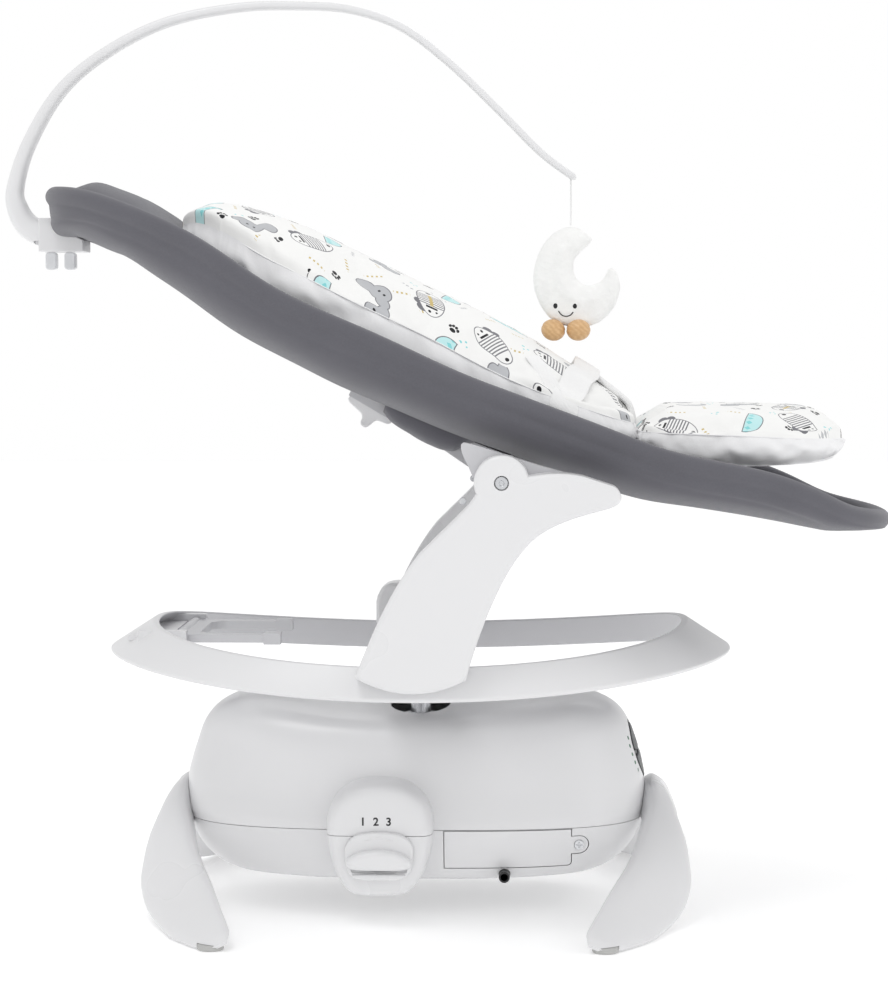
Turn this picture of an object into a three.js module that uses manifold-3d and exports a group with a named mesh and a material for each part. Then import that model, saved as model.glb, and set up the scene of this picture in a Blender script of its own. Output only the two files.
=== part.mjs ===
// Baby swing: a motor base with two arched legs carries a lift-off rocker ring, two uprights,
// a reclining seat with a fabric sling and cushions, and a toy bar with a hanging moon.
// Millimetres, +Z up. The head end of the seat points along -X, the foot end along +X.
// The origin is on the floor, under the middle of the whole object.

import * as THREE from 'three';
import { mergeVertices } from 'three/addons/utils/BufferGeometryUtils.js';
import Module from 'manifold-3d';

const wasm = await Module();
wasm.setup();

// ---- driving dimensions -------------------------------------------------------------------

const GAP = 0.3;                 // clearance between pieces that touch
const BODY_X = -24.5;            // middle of the base body
const BODY_LONG = 205.5;         // half length of the base body at its widest
const BODY_WIDE = 120;           // half width of the base body at the parting line
const BODY_BOTTOM = 32;
const BODY_TOP = 187;
const BODY_DIP = 14;             // how far the middle of the top sinks below its ends
const DIP_FROM = 130;               // height where the dip of the top starts
const DIP_HALF = 138;               // half length of that dip
const PARTING = 80;              // height of the line between upper and lower housing
const WALL = 3;

const RING_X = -21;              // middle of the rocker ring
const RING_LONG = 278.5;
const RING_WIDE = 211;
const RING_LOW = 202;            // underside of the ring at its middle
const RING_RISE = 24;            // how much higher its ends are
const RING_TALL = 28;

const SHAFT_X = RING_X;          // drive shaft and docking socket
const PIVOT = { x: 54.4, z: 385.6 };
const SEAT_WIDE = 181;           // half width of the sling
const UPRIGHT_IN = 187;          // inner and outer face of an upright
const UPRIGHT_OUT = 223;

const KNOB = { x: -50.5, z: 61 };
const KEYPAD = { y: -14, z: 136 };
const DOOR = { x0: 4, x1: 114, z0: 45 };
const DOOR_SCREW = { x: 121, z: 64 };
const JACK = { x: 56, z: 38.5 };
const HOOK_X = 113.5;              // the toy string hangs here, under the end of the toy bar
const STRING = 38;

// ---- materials ----------------------------------------------------------------------------

const paint = (color, roughness, metalness = 0) =>
  new THREE.MeshStandardMaterial({ color, roughness, metalness });

const white = paint(0xececee, 0.35);
const innerGrey = paint(0xc9c9cc, 0.5);
const clearWhite = paint(0xe4e6ea, 0.25);
const charcoal = paint(0x5b5c60, 0.9);
const darkPlastic = paint(0x4a4c50, 0.5);
const blackPlastic = paint(0x17181a, 0.5);
const printed = paint(0xf2f2f0, 0.9);
const plush = paint(0xf6f6f4, 1);
const wood = paint(0xd9a066, 0.6);
const steel = paint(0xa9abb0, 0.3, 1);
const rubber = paint(0xd8d3c8, 0.9);
const green = paint(0x3f8f5a, 0.6);

// ---- closed meshes ------------------------------------------------------------------------

/** Keep only merged positions, and turn the faces outward. */
function closed(geometry) {
  const bare = geometry.clone();
  for (const name of ['normal', 'uv']) bare.deleteAttribute(name);
  const merged = mergeVertices(bare, 1e-3);
  const p = merged.attributes.position;
  const index = Array.from(merged.index.array);
  const [a, b, c] = [new THREE.Vector3(), new THREE.Vector3(), new THREE.Vector3()];
  const kept = [];
  let volume = 0;
  for (let i = 0; i < index.length; i += 3) {
    const [i0, i1, i2] = index.slice(i, i + 3);
    if (i0 === i1 || i1 === i2 || i0 === i2) continue;
    kept.push(i0, i1, i2);
    a.fromBufferAttribute(p, i0);
    b.fromBufferAttribute(p, i1);
    c.fromBufferAttribute(p, i2);
    volume += a.dot(b.cross(c));
  }
  if (volume < 0) {
    for (let i = 0; i < kept.length; i += 3) [kept[i + 1], kept[i + 2]] = [kept[i + 2], kept[i + 1]];
  }
  merged.setIndex(kept);
  return merged;
}

/** A solid for joining and cutting; solids pass straight through. */
const solidOf = (shape) => {
  if (shape instanceof wasm.Manifold) return shape;
  const g = closed(shape);
  const mesh = new wasm.Mesh({
    numProp: 3,
    vertProperties: new Float32Array(g.attributes.position.array),
    triVerts: new Uint32Array(g.index.array),
  });
  return new wasm.Manifold(mesh);
};

/** The largest body of a solid, without the slivers that a cut can leave. */
const biggest = (solid) => solid.decompose().reduce((a, b) => (a.volume() > b.volume() ? a : b));

const geometryOf = (shape) => {
  if (!(shape instanceof wasm.Manifold)) return shape;
  const mesh = shape.simplify(0.005).getMesh();
  const g = new THREE.BufferGeometry();
  g.setAttribute('position', new THREE.BufferAttribute(new Float32Array(mesh.vertProperties), 3));
  g.setIndex(new THREE.BufferAttribute(new Uint32Array(mesh.triVerts), 1));
  return g;
};

/** The base joined to every shape in adds, kept where it meets within, less every shape in cuts. */
function carve(base, { adds = [], cuts = [], within = [] } = {}) {
  let solid = solidOf(base);
  for (const g of adds) solid = solid.add(solidOf(g));
  for (const g of within) solid = solid.intersect(solidOf(g));
  for (const g of cuts) solid = solid.subtract(solidOf(g));
  return solid;
}

/**
 * Skin over rings of equally many points. The ends are closed by a fan, or, where a ring is a thin
 * strip whose second half runs back beside its first, by a ladder across it; joined rings need none.
 */
function loft(rings, { joined = false, strip = false } = {}) {
  const points = rings.flat();
  const n = rings[0].length;
  const index = [];
  const spans = joined ? rings.length : rings.length - 1;
  for (let k = 0; k < spans; k += 1) {
    const next = (k + 1) % rings.length;
    for (let i = 0; i < n; i += 1) {
      const j = (i + 1) % n;
      const [a, b, c, d] = [k * n + i, k * n + j, next * n + j, next * n + i];
      index.push(a, b, c, a, c, d);
    }
  }
  if (strip) {
    for (const [k, flip] of [[0, true], [rings.length - 1, false]]) {
      for (let i = 0; i < n / 2 - 1; i += 1) {
        const quad = [i, i + 1, n - 2 - i, n - 1 - i].map((j) => k * n + j);
        if (flip) quad.reverse();
        index.push(quad[0], quad[1], quad[2], quad[0], quad[2], quad[3]);
      }
    }
  } else if (!joined) {
    for (const [k, flip] of [[0, true], [rings.length - 1, false]]) {
      const middle = new THREE.Vector3();
      for (const p of rings[k]) middle.add(p);
      points.push(middle.divideScalar(n));
      for (let i = 0; i < n; i += 1) {
        const pair = [k * n + i, k * n + ((i + 1) % n)];
        if (flip) pair.reverse();
        index.push(points.length - 1, ...pair);
      }
    }
  }
  const g = new THREE.BufferGeometry();
  g.setAttribute('position', new THREE.Float32BufferAttribute(points.flatMap((p) => [p.x, p.y, p.z]), 3));
  g.setIndex(index);
  return g;
}

// ---- small shape helpers ------------------------------------------------------------------

const at = (geometry, x, y, z) => geometry.clone().translate(x, y, z);
const box = (x0, x1, y0, y1, z0, z1) =>
  at(new THREE.BoxGeometry(x1 - x0, y1 - y0, z1 - z0), (x0 + x1) / 2, (y0 + y1) / 2, (z0 + z1) / 2);

/** A cylinder along an axis, from one place on that axis to another. */
function rod(axis, radius, from, to, u, v, sides = 24) {
  const g = new THREE.CylinderGeometry(radius, radius, Math.abs(to - from), sides);
  const middle = (from + to) / 2;
  if (axis === 'x') return at(g.rotateZ(Math.PI / 2), middle, u, v);
  if (axis === 'y') return at(g, u, middle, v);
  return at(g.rotateX(Math.PI / 2), u, v, middle);
}

/** A turned piece about Z: profile is a list of [radius, height]. */
function turned(profile, x, y, z, sides = 32) {
  const g = new THREE.LatheGeometry(profile.map(([r, h]) => new THREE.Vector2(r, h)), sides);
  return at(g.rotateX(Math.PI / 2), x, y, z);
}

/** An outline drawn in X and Z, thickened from y0 to y1, with a rounded edge. */
function plate(shape, y0, y1, bevel = 0, curveSegments = 5) {
  const g = new THREE.ExtrudeGeometry(shape, {
    depth: y1 - y0 - 2 * bevel,
    bevelEnabled: bevel > 0,
    bevelSize: bevel,
    bevelOffset: -bevel,
    bevelThickness: bevel,
    bevelSegments: 1,
    curveSegments,
  });
  return at(g.rotateX(Math.PI / 2), 0, y1 - bevel, 0);
}

const outline = (points) => new THREE.Shape(points.map(([x, z]) => new THREE.Vector2(x, z)));

function smoothOutline(points, count) {
  const corners = points.map(([x, z]) => new THREE.Vector3(x, z, 0));
  const curve = new THREE.CatmullRomCurve3(corners, true, 'catmullrom', 0.5);
  return outline(curve.getPoints(count).slice(0, -1).map((p) => [p.x, p.y]));
}

function roundedRect(x0, x1, z0, z1, r) {
  const s = new THREE.Shape();
  s.moveTo(x0 + r, z0);
  s.lineTo(x1 - r, z0);
  s.absarc(x1 - r, z0 + r, r, -Math.PI / 2, 0);
  s.lineTo(x1, z1 - r);
  s.absarc(x1 - r, z1 - r, r, 0, Math.PI / 2);
  s.lineTo(x0 + r, z1);
  s.absarc(x0 + r, z1 - r, r, Math.PI / 2, Math.PI);
  s.lineTo(x0, z0 + r);
  s.absarc(x0 + r, z0 + r, r, Math.PI, 1.5 * Math.PI);
  return s;
}

/** A tube of one radius along a smooth curve. */
function tube(points, radius, { closedLoop = false, steps = 48, sides = 10 } = {}) {
  const stops = points.map((p) => new THREE.Vector3(...p));
  const extrudePath = new THREE.CatmullRomCurve3(stops, closedLoop, 'centripetal');
  const section = new THREE.Shape();
  section.absarc(0, 0, radius, 0, 2 * Math.PI);
  const way = { steps, extrudePath, bevelEnabled: false, curveSegments: sides };
  return new THREE.ExtrudeGeometry(section, way);
}

/** Value on a smooth line through [x, value] pairs. */
function along(table, x) {
  if (x <= table[0][0]) return table[0][1];
  for (let i = 1; i < table.length; i += 1) {
    const [x0, v0] = table[i - 1];
    const [x1, v1] = table[i];
    if (x <= x1) return v0 + ((v1 - v0) * (x - x0)) / (x1 - x0);
  }
  return table[table.length - 1][1];
}

const group = new THREE.Group();

function add(name, geometry, material) {
  const mesh = new THREE.Mesh(closed(geometryOf(geometry)), material);
  mesh.name = name;
  group.add(mesh);
}

// ---- base body ----------------------------------------------------------------------------

// Half length and half width of the body at each height, and how square its plan is.
const BODY_PLAN = [
  [BODY_BOTTOM, 150, 92],
  [BODY_BOTTOM + 3, 168, 103],
  [46, 186, 110],
  [62, 198, 116],
  [PARTING, 204, BODY_WIDE],
  [92, BODY_LONG, 118],
  [111, 205.5, 114],
  [130, 201.5, 111],
  [146, 196.5, 108],
  [160, 191.5, 104],
  [171, 184, 99],
  [179, 173, 92],
  [184.5, 157, 82],
  [BODY_TOP, 138, 68],
];
const BODY_SQUARE = 2.9;
const BODY_SIDES = 48;
const ROOM_SIDES = 24;           // the inside of the housings is plainer

/** The body's skin, offset outward by grow, between two heights. */
function bodySkin(grow, from, to, sides = BODY_SIDES) {
  const long = BODY_PLAN.map(([z, a]) => [z, a]);
  const wide = BODY_PLAN.map(([z, , b]) => [z, b]);
  const heights = [from, ...BODY_PLAN.map(([z]) => z).filter((z) => z > from + 1 && z < to - 1), to];
  const ring = (z, shrink, lift) => Array.from({ length: sides }, (_, i) => {
    const t = (2 * Math.PI * i) / sides;
    const [c, s] = [Math.cos(t), Math.sin(t)];
    const x = (along(long, z) + grow) * shrink * Math.sign(c) * Math.abs(c) ** (2 / BODY_SQUARE);
    const flare = 5 * (x / BODY_LONG) ** 2 * Math.max(0, 1 - Math.abs(z - 88) / 20);
    const y = (along(wide, z) + flare + grow) * shrink * Math.sign(s) * Math.abs(s) ** (2 / BODY_SQUARE);
    const high = Math.max(0, (z - DIP_FROM) / (BODY_TOP - DIP_FROM));
    const sink = BODY_DIP * high ** 1.5 * Math.max(0, 1 - (x / DIP_HALF) ** 2);
    return new THREE.Vector3(BODY_X + x, y, z - sink + lift);
  });
  const rings = heights.map((z) => ring(z, 1, 0));
  if (to > BODY_TOP - 10) {
    const lift = [0.5, 0.9, 1.1];
    const raise = to >= BODY_TOP ? grow : 0;
    [0.72, 0.42, 0.14].forEach((shrink, k) => rings.push(ring(to, shrink, lift[k] + raise)));
  }
  return loft(rings);
}

/** The bulge on the near side that holds the selector knob, offset outward by grow. */
function bulge(grow) {
  const levels = [[-90, 1], [-128, 1], [-139, 0.985], [-146, 0.94], [-149.5, 0.87], [-150.5, 0.78]];
  const profile = [
    [-97, 84], [-95, 99], [-87, 113], [-72, 122.5], [-51, 125.5], [-30, 122.5], [-15, 113],
    [-7, 99], [-5, 84], [-7, 66], [-13, 46], [-23, 31], [-36, 26], [-66, 26], [-79, 31],
    [-89, 46], [-95, 66],
  ];
  const [cx, cz] = [-51, 74];
  return loft(levels.map(([y, s]) => smoothOutline(profile, 30).getPoints().map((p) => {
    const x = cx + (p.x - cx) * (s + grow / 45);
    const z = cz + (p.y - cz) * (s + grow / 50);
    return new THREE.Vector3(x, y - grow, z);
  })));
}

const doorShape = (grow) => roundedRect(
  DOOR.x0 - grow,
  DOOR.x1 + grow,
  DOOR.z0 - grow,
  PARTING - 1.2 + grow,
  3 + grow,
);
const tabShape = (grow) => roundedRect(
  DOOR.x1 - 6,
  DOOR_SCREW.x + 8 + grow,
  DOOR_SCREW.z - 8 - grow,
  DOOR_SCREW.z + 8 + grow,
  7.9 + grow,
);
const doorPrism = (grow, y0) => carve(plate(doorShape(grow), y0, -60, 0, 3), {
  adds: [plate(tabShape(grow), y0, -60)],
});

const bodyRoom = bodySkin(-WALL, BODY_BOTTOM + WALL, BODY_TOP - WALL, ROOM_SIDES);
const slotOpening = (grow) => {
  const s = new THREE.Shape();
  s.absellipse(0, 0, 27 + grow, 58 + grow, 0, 2 * Math.PI);
  const column = new THREE.ExtrudeGeometry(s, { depth: 80, bevelEnabled: false, curveSegments: 14 });
  return at(column, SHAFT_X, 0, 150);
};

/** A flat disc or ring sector facing +X at the keypad, from one radius to another. */
function keypadPrism(r0, r1, a0, a1, x0, x1) {
  const s = new THREE.Shape();
  s.absarc(0, 0, r1, a0, a1, false);
  if (r0 > 0) s.absarc(0, 0, r0, a1, a0, true);
  const curveSegments = a1 - a0 > 6 ? 14 : 5;
  const g = new THREE.ExtrudeGeometry(s, { depth: x1 - x0, bevelEnabled: false, curveSegments });
  return at(g.rotateX(Math.PI / 2).rotateZ(Math.PI / 2), x0, KEYPAD.y, KEYPAD.z);
}
const KEYPAD_IN = 150;
const KEYPAD_OUT = 200;
const wholeTurn = [0, 2 * Math.PI];

const LED_COUNT = 5;
const LED_REACH = 33.5;          // from the keypad's middle
const ledAngle = (i) => Math.PI * (0.86 + 0.07 * i);
const ledPeg = (i, r, x0, x1) => {
  const [across, up] = [Math.cos(ledAngle(i)), Math.sin(ledAngle(i))];
  return rod('x', r, x0, x1, KEYPAD.y + LED_REACH * across, KEYPAD.z + LED_REACH * up, 10);
};
const ledPegs = (r, x0, x1) => Array.from({ length: LED_COUNT }, (_, i) => ledPeg(i, r, x0, x1));

const skinAbove = bodySkin(0, PARTING, BODY_TOP);
const upperHalf = box(-300, 260, -200, 200, PARTING, 260);
const lowerHalf = box(-300, 260, -200, 200, 0, PARTING - GAP);
const knobHole = rod('y', 9, -170, -100, KNOB.x, KNOB.z, 24);

add('base_upper_housing', carve(skinAbove, {
  adds: [carve(bulge(0), { within: [upperHalf] })],
  cuts: [
    bodyRoom,
    carve(bulge(-WALL), { within: [box(-300, 260, -200, -80, PARTING - 1, 260)] }),
    box(-150, 100, -80, 80, PARTING - 1, PARTING + 1),
    slotOpening(0),
    keypadPrism(0, 27, ...wholeTurn, KEYPAD_IN, KEYPAD_OUT),
    ...ledPegs(1.9, KEYPAD_IN, KEYPAD_OUT),
  ],
}), white);

const skinBelow = bodySkin(0, BODY_BOTTOM, PARTING - GAP);
add('base_lower_housing', carve(skinBelow, {
  adds: [carve(bulge(0), { within: [lowerHalf] })],
  cuts: [
    bodySkin(-WALL, BODY_BOTTOM + WALL, PARTING + 5, ROOM_SIDES),
    carve(bulge(-WALL), { within: [box(-300, 260, -200, -80, BODY_BOTTOM + WALL, PARTING + 1)] }),
    doorPrism(0.6, -160),
    rod('y', 5.2, -160, -80, JACK.x, JACK.z, 24),
    knobHole,
    ...[-3, -1, 1, 3].map((k) => box(96 + 5 * k - 1.5, 96 + 5 * k + 1.5, 20, 60, 20, 50)),
  ],
}), white);

// ---- battery door, battery box, cells, jack -------------------------------------------------

const SCREW_Y = -96.6;            // seat of the battery door screw's head
const wallBand = carve(bodySkin(-0.3, BODY_BOTTOM + 2, PARTING - GAP), {
  cuts: [bodySkin(-2.6, BODY_BOTTOM, PARTING + 5)],
});
add('battery_door', carve(wallBand, {
  within: [doorPrism(0, -160)],
  cuts: [
    rod('y', 4.6, -160, SCREW_Y, DOOR_SCREW.x, DOOR_SCREW.z, 16),
    rod('y', 1.8, -160, -60, DOOR_SCREW.x, DOOR_SCREW.z, 12),
  ],
}), white);
add('battery_door_screw', carve(rod('y', 4.2, SCREW_Y - 2.4, SCREW_Y - GAP, DOOR_SCREW.x, DOOR_SCREW.z, 16), {
  adds: [rod('y', 1.5, SCREW_Y - 1, SCREW_Y + 10, DOOR_SCREW.x, DOOR_SCREW.z, 12)],
  cuts: [[2.6, 0.5], [0.5, 2.6]].map(([w, h]) => box(
    DOOR_SCREW.x - w, DOOR_SCREW.x + w, SCREW_Y - 3, SCREW_Y - 1.2, DOOR_SCREW.z - h, DOOR_SCREW.z + h,
  )),
}), steel);

const CELL_R = 13;
const cellRows = [-80, -52.5];
add('battery_box', carve(box(6, 112, -98, -36, 44, 78), {
  within: [bodySkin(-WALL - GAP, BODY_BOTTOM, PARTING + 5, ROOM_SIDES)],
  cuts: [box(8, 110, -120, -38, 46.5, 90)],
}), innerGrey);
let cell = 0;
for (const y of cellRows) {
  for (const x of [9, 60]) {
    cell += 1;
    add(`battery_cell_${cell}`, carve(rod('x', CELL_R, x, x + 47, y, 60.2, 24), {
      adds: [rod('x', 3.2, x + 46, x + 49, y, 60.2, 12)],
    }), steel);
  }
}
add('mains_jack', carve(rod('y', 4.8, -118, -84, JACK.x, JACK.z, 24), {
  cuts: [rod('y', 3.2, -120, -90, JACK.x, JACK.z, 20)],
}), blackPlastic);

// ---- selector knob ------------------------------------------------------------------------

const knobFace = smoothOutline([
  [-29, 2], [-28, 12], [-20, 20], [0, 23], [20, 20], [28, 12], [29, 2], [26, -12], [14, -18],
  [-14, -18], [-26, -12],
], 28);
const knobGrip = smoothOutline([
  [-28, -1], [-18, 6], [0, 9], [18, 6], [28, -1], [22, -8], [0, -9], [-22, -8],
], 22);
const knobLip = smoothOutline([[-22, -13], [0, -12.5], [22, -13], [16, -17], [0, -17.5], [-16, -17]], 24);
const knobParts = [
  plate(knobFace, -157, -151.2, 1.5),
  plate(knobGrip, -167, -156, 3),
  plate(knobLip, -161.5, -156),
].map((g) => at(g, KNOB.x, 0, KNOB.z));
add('selector_knob', carve(knobParts[0], {
  adds: [knobParts[1], knobParts[2], rod('y', 8, -152, -128, KNOB.x, KNOB.z, 24)],
}), white);

// ---- keypad -------------------------------------------------------------------------------

const keypadWall = (grow, depth) => carve(bodySkin(grow, 90, BODY_TOP), {
  cuts: [bodySkin(-depth, 80, BODY_TOP + 2)],
});
add('keypad_panel', carve(keypadWall(-0.6, 2.4), {
  within: [keypadPrism(0, 26.7, ...wholeTurn, KEYPAD_IN, KEYPAD_OUT)],
  cuts: [
    keypadPrism(0, 8.4, ...wholeTurn, KEYPAD_IN, KEYPAD_OUT),
    keypadPrism(9.8, 24.4, 0.1, Math.PI / 2 - 0.1, KEYPAD_IN, KEYPAD_OUT),
    keypadPrism(9.8, 24.4, Math.PI / 2 + 0.1, Math.PI - 0.1, KEYPAD_IN, KEYPAD_OUT),
    keypadPrism(9.8, 24.4, Math.PI + 0.1, 1.5 * Math.PI - 0.1, KEYPAD_IN, KEYPAD_OUT),
    keypadPrism(9.8, 24.4, 1.5 * Math.PI + 0.1, 2 * Math.PI - 0.1, KEYPAD_IN, KEYPAD_OUT),
  ],
}), darkPlastic);
const buttonWall = keypadWall(0.9, 3.4);
const buttonNames = ['button_up', 'button_music', 'button_down', 'button_timer'];
add('button_power', carve(buttonWall, {
  within: [keypadPrism(0, 8, ...wholeTurn, KEYPAD_IN, KEYPAD_OUT)],
}), darkPlastic);
buttonNames.forEach((name, i) => {
  const a0 = (i * Math.PI) / 2;
  add(name, carve(buttonWall, {
    within: [keypadPrism(10.3, 23.9, a0 + 0.14, a0 + Math.PI / 2 - 0.14, KEYPAD_IN, KEYPAD_OUT)],
  }), darkPlastic);
});
const [firstPeg, ...otherPegs] = ledPegs(1.6, KEYPAD_IN, KEYPAD_OUT);
const ledStrip = carve(bodySkin(-WALL - GAP, 90, BODY_TOP - 1, ROOM_SIDES), {
  cuts: [bodySkin(-7, 80, BODY_TOP + 2, ROOM_SIDES)],
  within: [keypadPrism(LED_REACH - 3, LED_REACH + 3, ledAngle(-0.5), ledAngle(4.5), KEYPAD_IN, KEYPAD_OUT)],
});
add('led_light_guide', carve(carve(firstPeg, { adds: otherPegs }), {
  within: [keypadWall(0.2, WALL + 1.5)],
}).add(ledStrip), green);

// ---- legs ---------------------------------------------------------------------------------

// Half of a leg arch from its apex to its foot: distance along Y, then the upper and the lower
// edge of the blade as [outward from the body's middle, height], and its thickness.
const LEG_STATIONS = [
  [0, [204, 111], [217, 101], 34],
  [20, [204, 110], [221, 98], 33],
  [40, [204.5, 105], [226, 91], 30],
  [60, [203.5, 96], [230, 82], 27],
  [85, [198, 82], [237, 61], 24],
  [110, [190.5, 65], [239, 38], 21],
  [130, [183, 54], [234, 22], 18],
  [150, [174.5, 45], [225, 12.5], 15],
  [175, [166, 37], [213, 8], 12],
  [200, [158.5, 30], [202, 5.5], 10],
  [222, [151.5, 23], [187, 4], 9],
  [238, [147, 16], [174, 3], 7],
  [247, [147, 9], [160, 3.2], 3.5],
];

/** A leg arch; side is -1 at the head end and 1 at the foot end. */
function legArch(side, stretch, grow = 0) {
  const steps = LEG_STATIONS.map(([y, upper, lower, thick]) => ({
    upper: new THREE.Vector3(side * upper[0] * stretch, y, upper[1]),
    lower: new THREE.Vector3(side * lower[0] * stretch, y, lower[1]),
    thick,
  }));
  const other = steps.slice(1).reverse().map(({ upper, lower, thick }) => ({
    upper: upper.clone().setY(-upper.y),
    lower: lower.clone().setY(-lower.y),
    thick,
  }));
  const all = [...other, ...steps];
  const middles = all.map(({ upper, lower }) => upper.clone().add(lower).multiplyScalar(0.5));
  const rings = all.map(({ upper, lower, thick }, i) => {
    const ahead = middles[Math.min(i + 1, all.length - 1)];
    const behind = middles[Math.max(i - 1, 0)];
    const tangent = ahead.clone().sub(behind).normalize();
    const across = lower.clone().sub(upper);
    const half = across.length() / 2 + grow;
    across.normalize();
    const inward = tangent.clone().cross(across).normalize();
    if (inward.z > 0) inward.negate();
    return Array.from({ length: 12 }, (_, k) => {
      const t = (2 * Math.PI * k) / 12;
      const c = Math.sign(Math.cos(t)) * Math.abs(Math.cos(t)) ** 0.7;
      const s = Math.sign(Math.sin(t)) * Math.abs(Math.sin(t)) ** 0.7;
      return middles[i].clone()
        .addScaledVector(across, c * half)
        .addScaledVector(inward, thick * 0.42 + s * (thick / 2 + grow));
    });
  });
  return at(loft(rings), BODY_X, 0, 0);
}

const PAD_TALL = 5;
const padPlaces = [];
for (const [side, stretch, end] of [[-1, 1, 'head'], [1, 1.025, 'foot']]) {
  const pads = [-1, 1].map((y) => [BODY_X + side * 161 * stretch, y * 236]);
  padPlaces.push(...pads.map((place, i) => [`foot_pad_${end}_${i ? 'far' : 'near'}`, place]));
  add(`leg_arch_${end}`, carve(legArch(side, stretch), {
    cuts: [
      bodySkin(GAP, BODY_BOTTOM - 6, BODY_TOP),
      box(-400, 400, -300, 300, -60, 1.5),
      ...pads.map(([x, y]) => rod('z', 11 + GAP, -5, PAD_TALL + GAP, x, y, 24)),
    ],
  }), white);
}
for (const [name, [x, y]] of padPlaces) add(name, rod('z', 11, 0, PAD_TALL, x, y, 24), rubber);

// ---- rocker ring --------------------------------------------------------------------------

const RING_STEPS = 68;
const RING_SQUARE = 2.25;
const ringLow = (x) => RING_LOW + RING_RISE * ((x - RING_X) / RING_LONG) ** 2;

/** The rocker ring, an inclined band round an oval, offset outward by grow. */
function ringBand(grow) {
  const rings = Array.from({ length: RING_STEPS }, (_, i) => {
    const t = (2 * Math.PI * i) / RING_STEPS;
    const c = Math.sign(Math.cos(t)) * Math.abs(Math.cos(t)) ** (2 / RING_SQUARE);
    const s = Math.sign(Math.sin(t)) * Math.abs(Math.sin(t)) ** (2 / RING_SQUARE);
    const x = RING_X + RING_LONG * c;
    const out = new THREE.Vector3(Math.cos(t) / RING_LONG, Math.sin(t) / RING_WIDE, 0).normalize();
    const lean = 14 + 24 * Math.abs(c) ** 3;
    const wall = 4.5 + 2 * Math.abs(c) ** 3;
    const section = [[0, 4], [-1, 0.8], [-wall, 0], [-wall - 0.5, 3], [-lean - wall, RING_TALL - 3],
      [-lean - wall + 0.5, RING_TALL], [-lean - 1, RING_TALL], [-lean, RING_TALL - 2]];
    const mid = [-(lean + wall) / 2, RING_TALL / 2];
    return section.map(([o, z]) => {
      const push = new THREE.Vector2(o - mid[0], z - mid[1]);
      const far = push.length();
      push.multiplyScalar((far + 1.6 * grow) / far);
      const point = new THREE.Vector3(x, RING_WIDE * s, ringLow(x) + mid[1] + push.y);
      return point.addScaledVector(out, mid[0] + push.x);
    });
  });
  return loft(rings, { joined: true });
}

// ---- drive: rods, carriage, shaft, rack and pinion -------------------------------------------

const DRIVE_Z = 118;
const PITCH = 14;                // pitch radius of the drive pinion
const TEETH = 14;
const MODULE = (2 * PITCH) / TEETH;
const GUIDES = [-34, 34];        // guide rods, either side of the shaft
for (const [name, dx] of [['guide_rod_head', GUIDES[0]], ['guide_rod_foot', GUIDES[1]]]) {
  add(name, rod('y', 4, -84, 84, SHAFT_X + dx, DRIVE_Z, 16), steel);
}
add('carriage', carve(box(SHAFT_X - 46, SHAFT_X + 46, -26, 26, DRIVE_Z - 12, DRIVE_Z + 12), {
  cuts: [
    ...GUIDES.map((dx) => rod('y', 4.3, -30, 30, SHAFT_X + dx, DRIVE_Z, 16)),
    rod('z', 9 + GAP, DRIVE_Z - 8, DRIVE_Z + 20, SHAFT_X, 0, 24),
  ],
}), innerGrey);
const pinionZ = DRIVE_Z - 18.6 - PITCH;
add('drive_frame', carve(box(SHAFT_X - 46, SHAFT_X - 40, -90, 90, BODY_BOTTOM + WALL + GAP, 100), {
  adds: [
    box(SHAFT_X + 40, SHAFT_X + 46, -90, 90, BODY_BOTTOM + WALL + GAP, 100),
    ...[-90, 78].map((y) => box(SHAFT_X - 46, SHAFT_X + 46, y, y + 12, 96, DRIVE_Z + 9)),
  ],
  cuts: [
    ...GUIDES.map((dx) => rod('y', 4.3, -84.3, 84.3, SHAFT_X + dx, DRIVE_Z, 16)),
    rod('x', 15 + GAP, SHAFT_X - 70, SHAFT_X, 0, pinionZ, 28),
    box(SHAFT_X - 60, SHAFT_X + 60, 30, 72, 44, 84),
    box(SHAFT_X - 60, SHAFT_X + 60, -92, -30, 30, 84),
  ],
}), innerGrey);
add('drive_shaft', turned([
  [0, DRIVE_Z - 7], [8, DRIVE_Z - 7], [9, DRIVE_Z - 6], [9, 163], [15, 163.5], [15, 166.5], [9, 167],
  [9, 216], [6.5, 221], [0, 221],
], SHAFT_X, 0, 0, 20), steel);
const skirtFoot = DRIVE_Z + 12.4;
add('shaft_skirt', turned([
  [9.4, skirtFoot], [30, skirtFoot], [22, 157], [11, 161.6], [9.4, 161.6], [9.4, 158], [19, 154.5],
  [26, skirtFoot + 3], [9.4, skirtFoot + 3], [9.4, skirtFoot],
], SHAFT_X, 0, 0, 24), white);

/** A spur gear turning about X, its middle at the origin. */
function gear(teeth, pitch, thick) {
  const step = (2 * Math.PI) / teeth;
  const points = [];
  for (let i = 0; i < teeth; i += 1) {
    for (const [f, r] of [[-0.31, -1.25], [-0.13, 0.9], [0.13, 0.9], [0.31, -1.25]]) {
      const radius = pitch + r * MODULE;
      points.push([radius * Math.sin((i + f) * step), radius * Math.cos((i + f) * step)]);
    }
  }
  return plate(outline(points), -thick / 2, thick / 2).rotateZ(Math.PI / 2);
}

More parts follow.
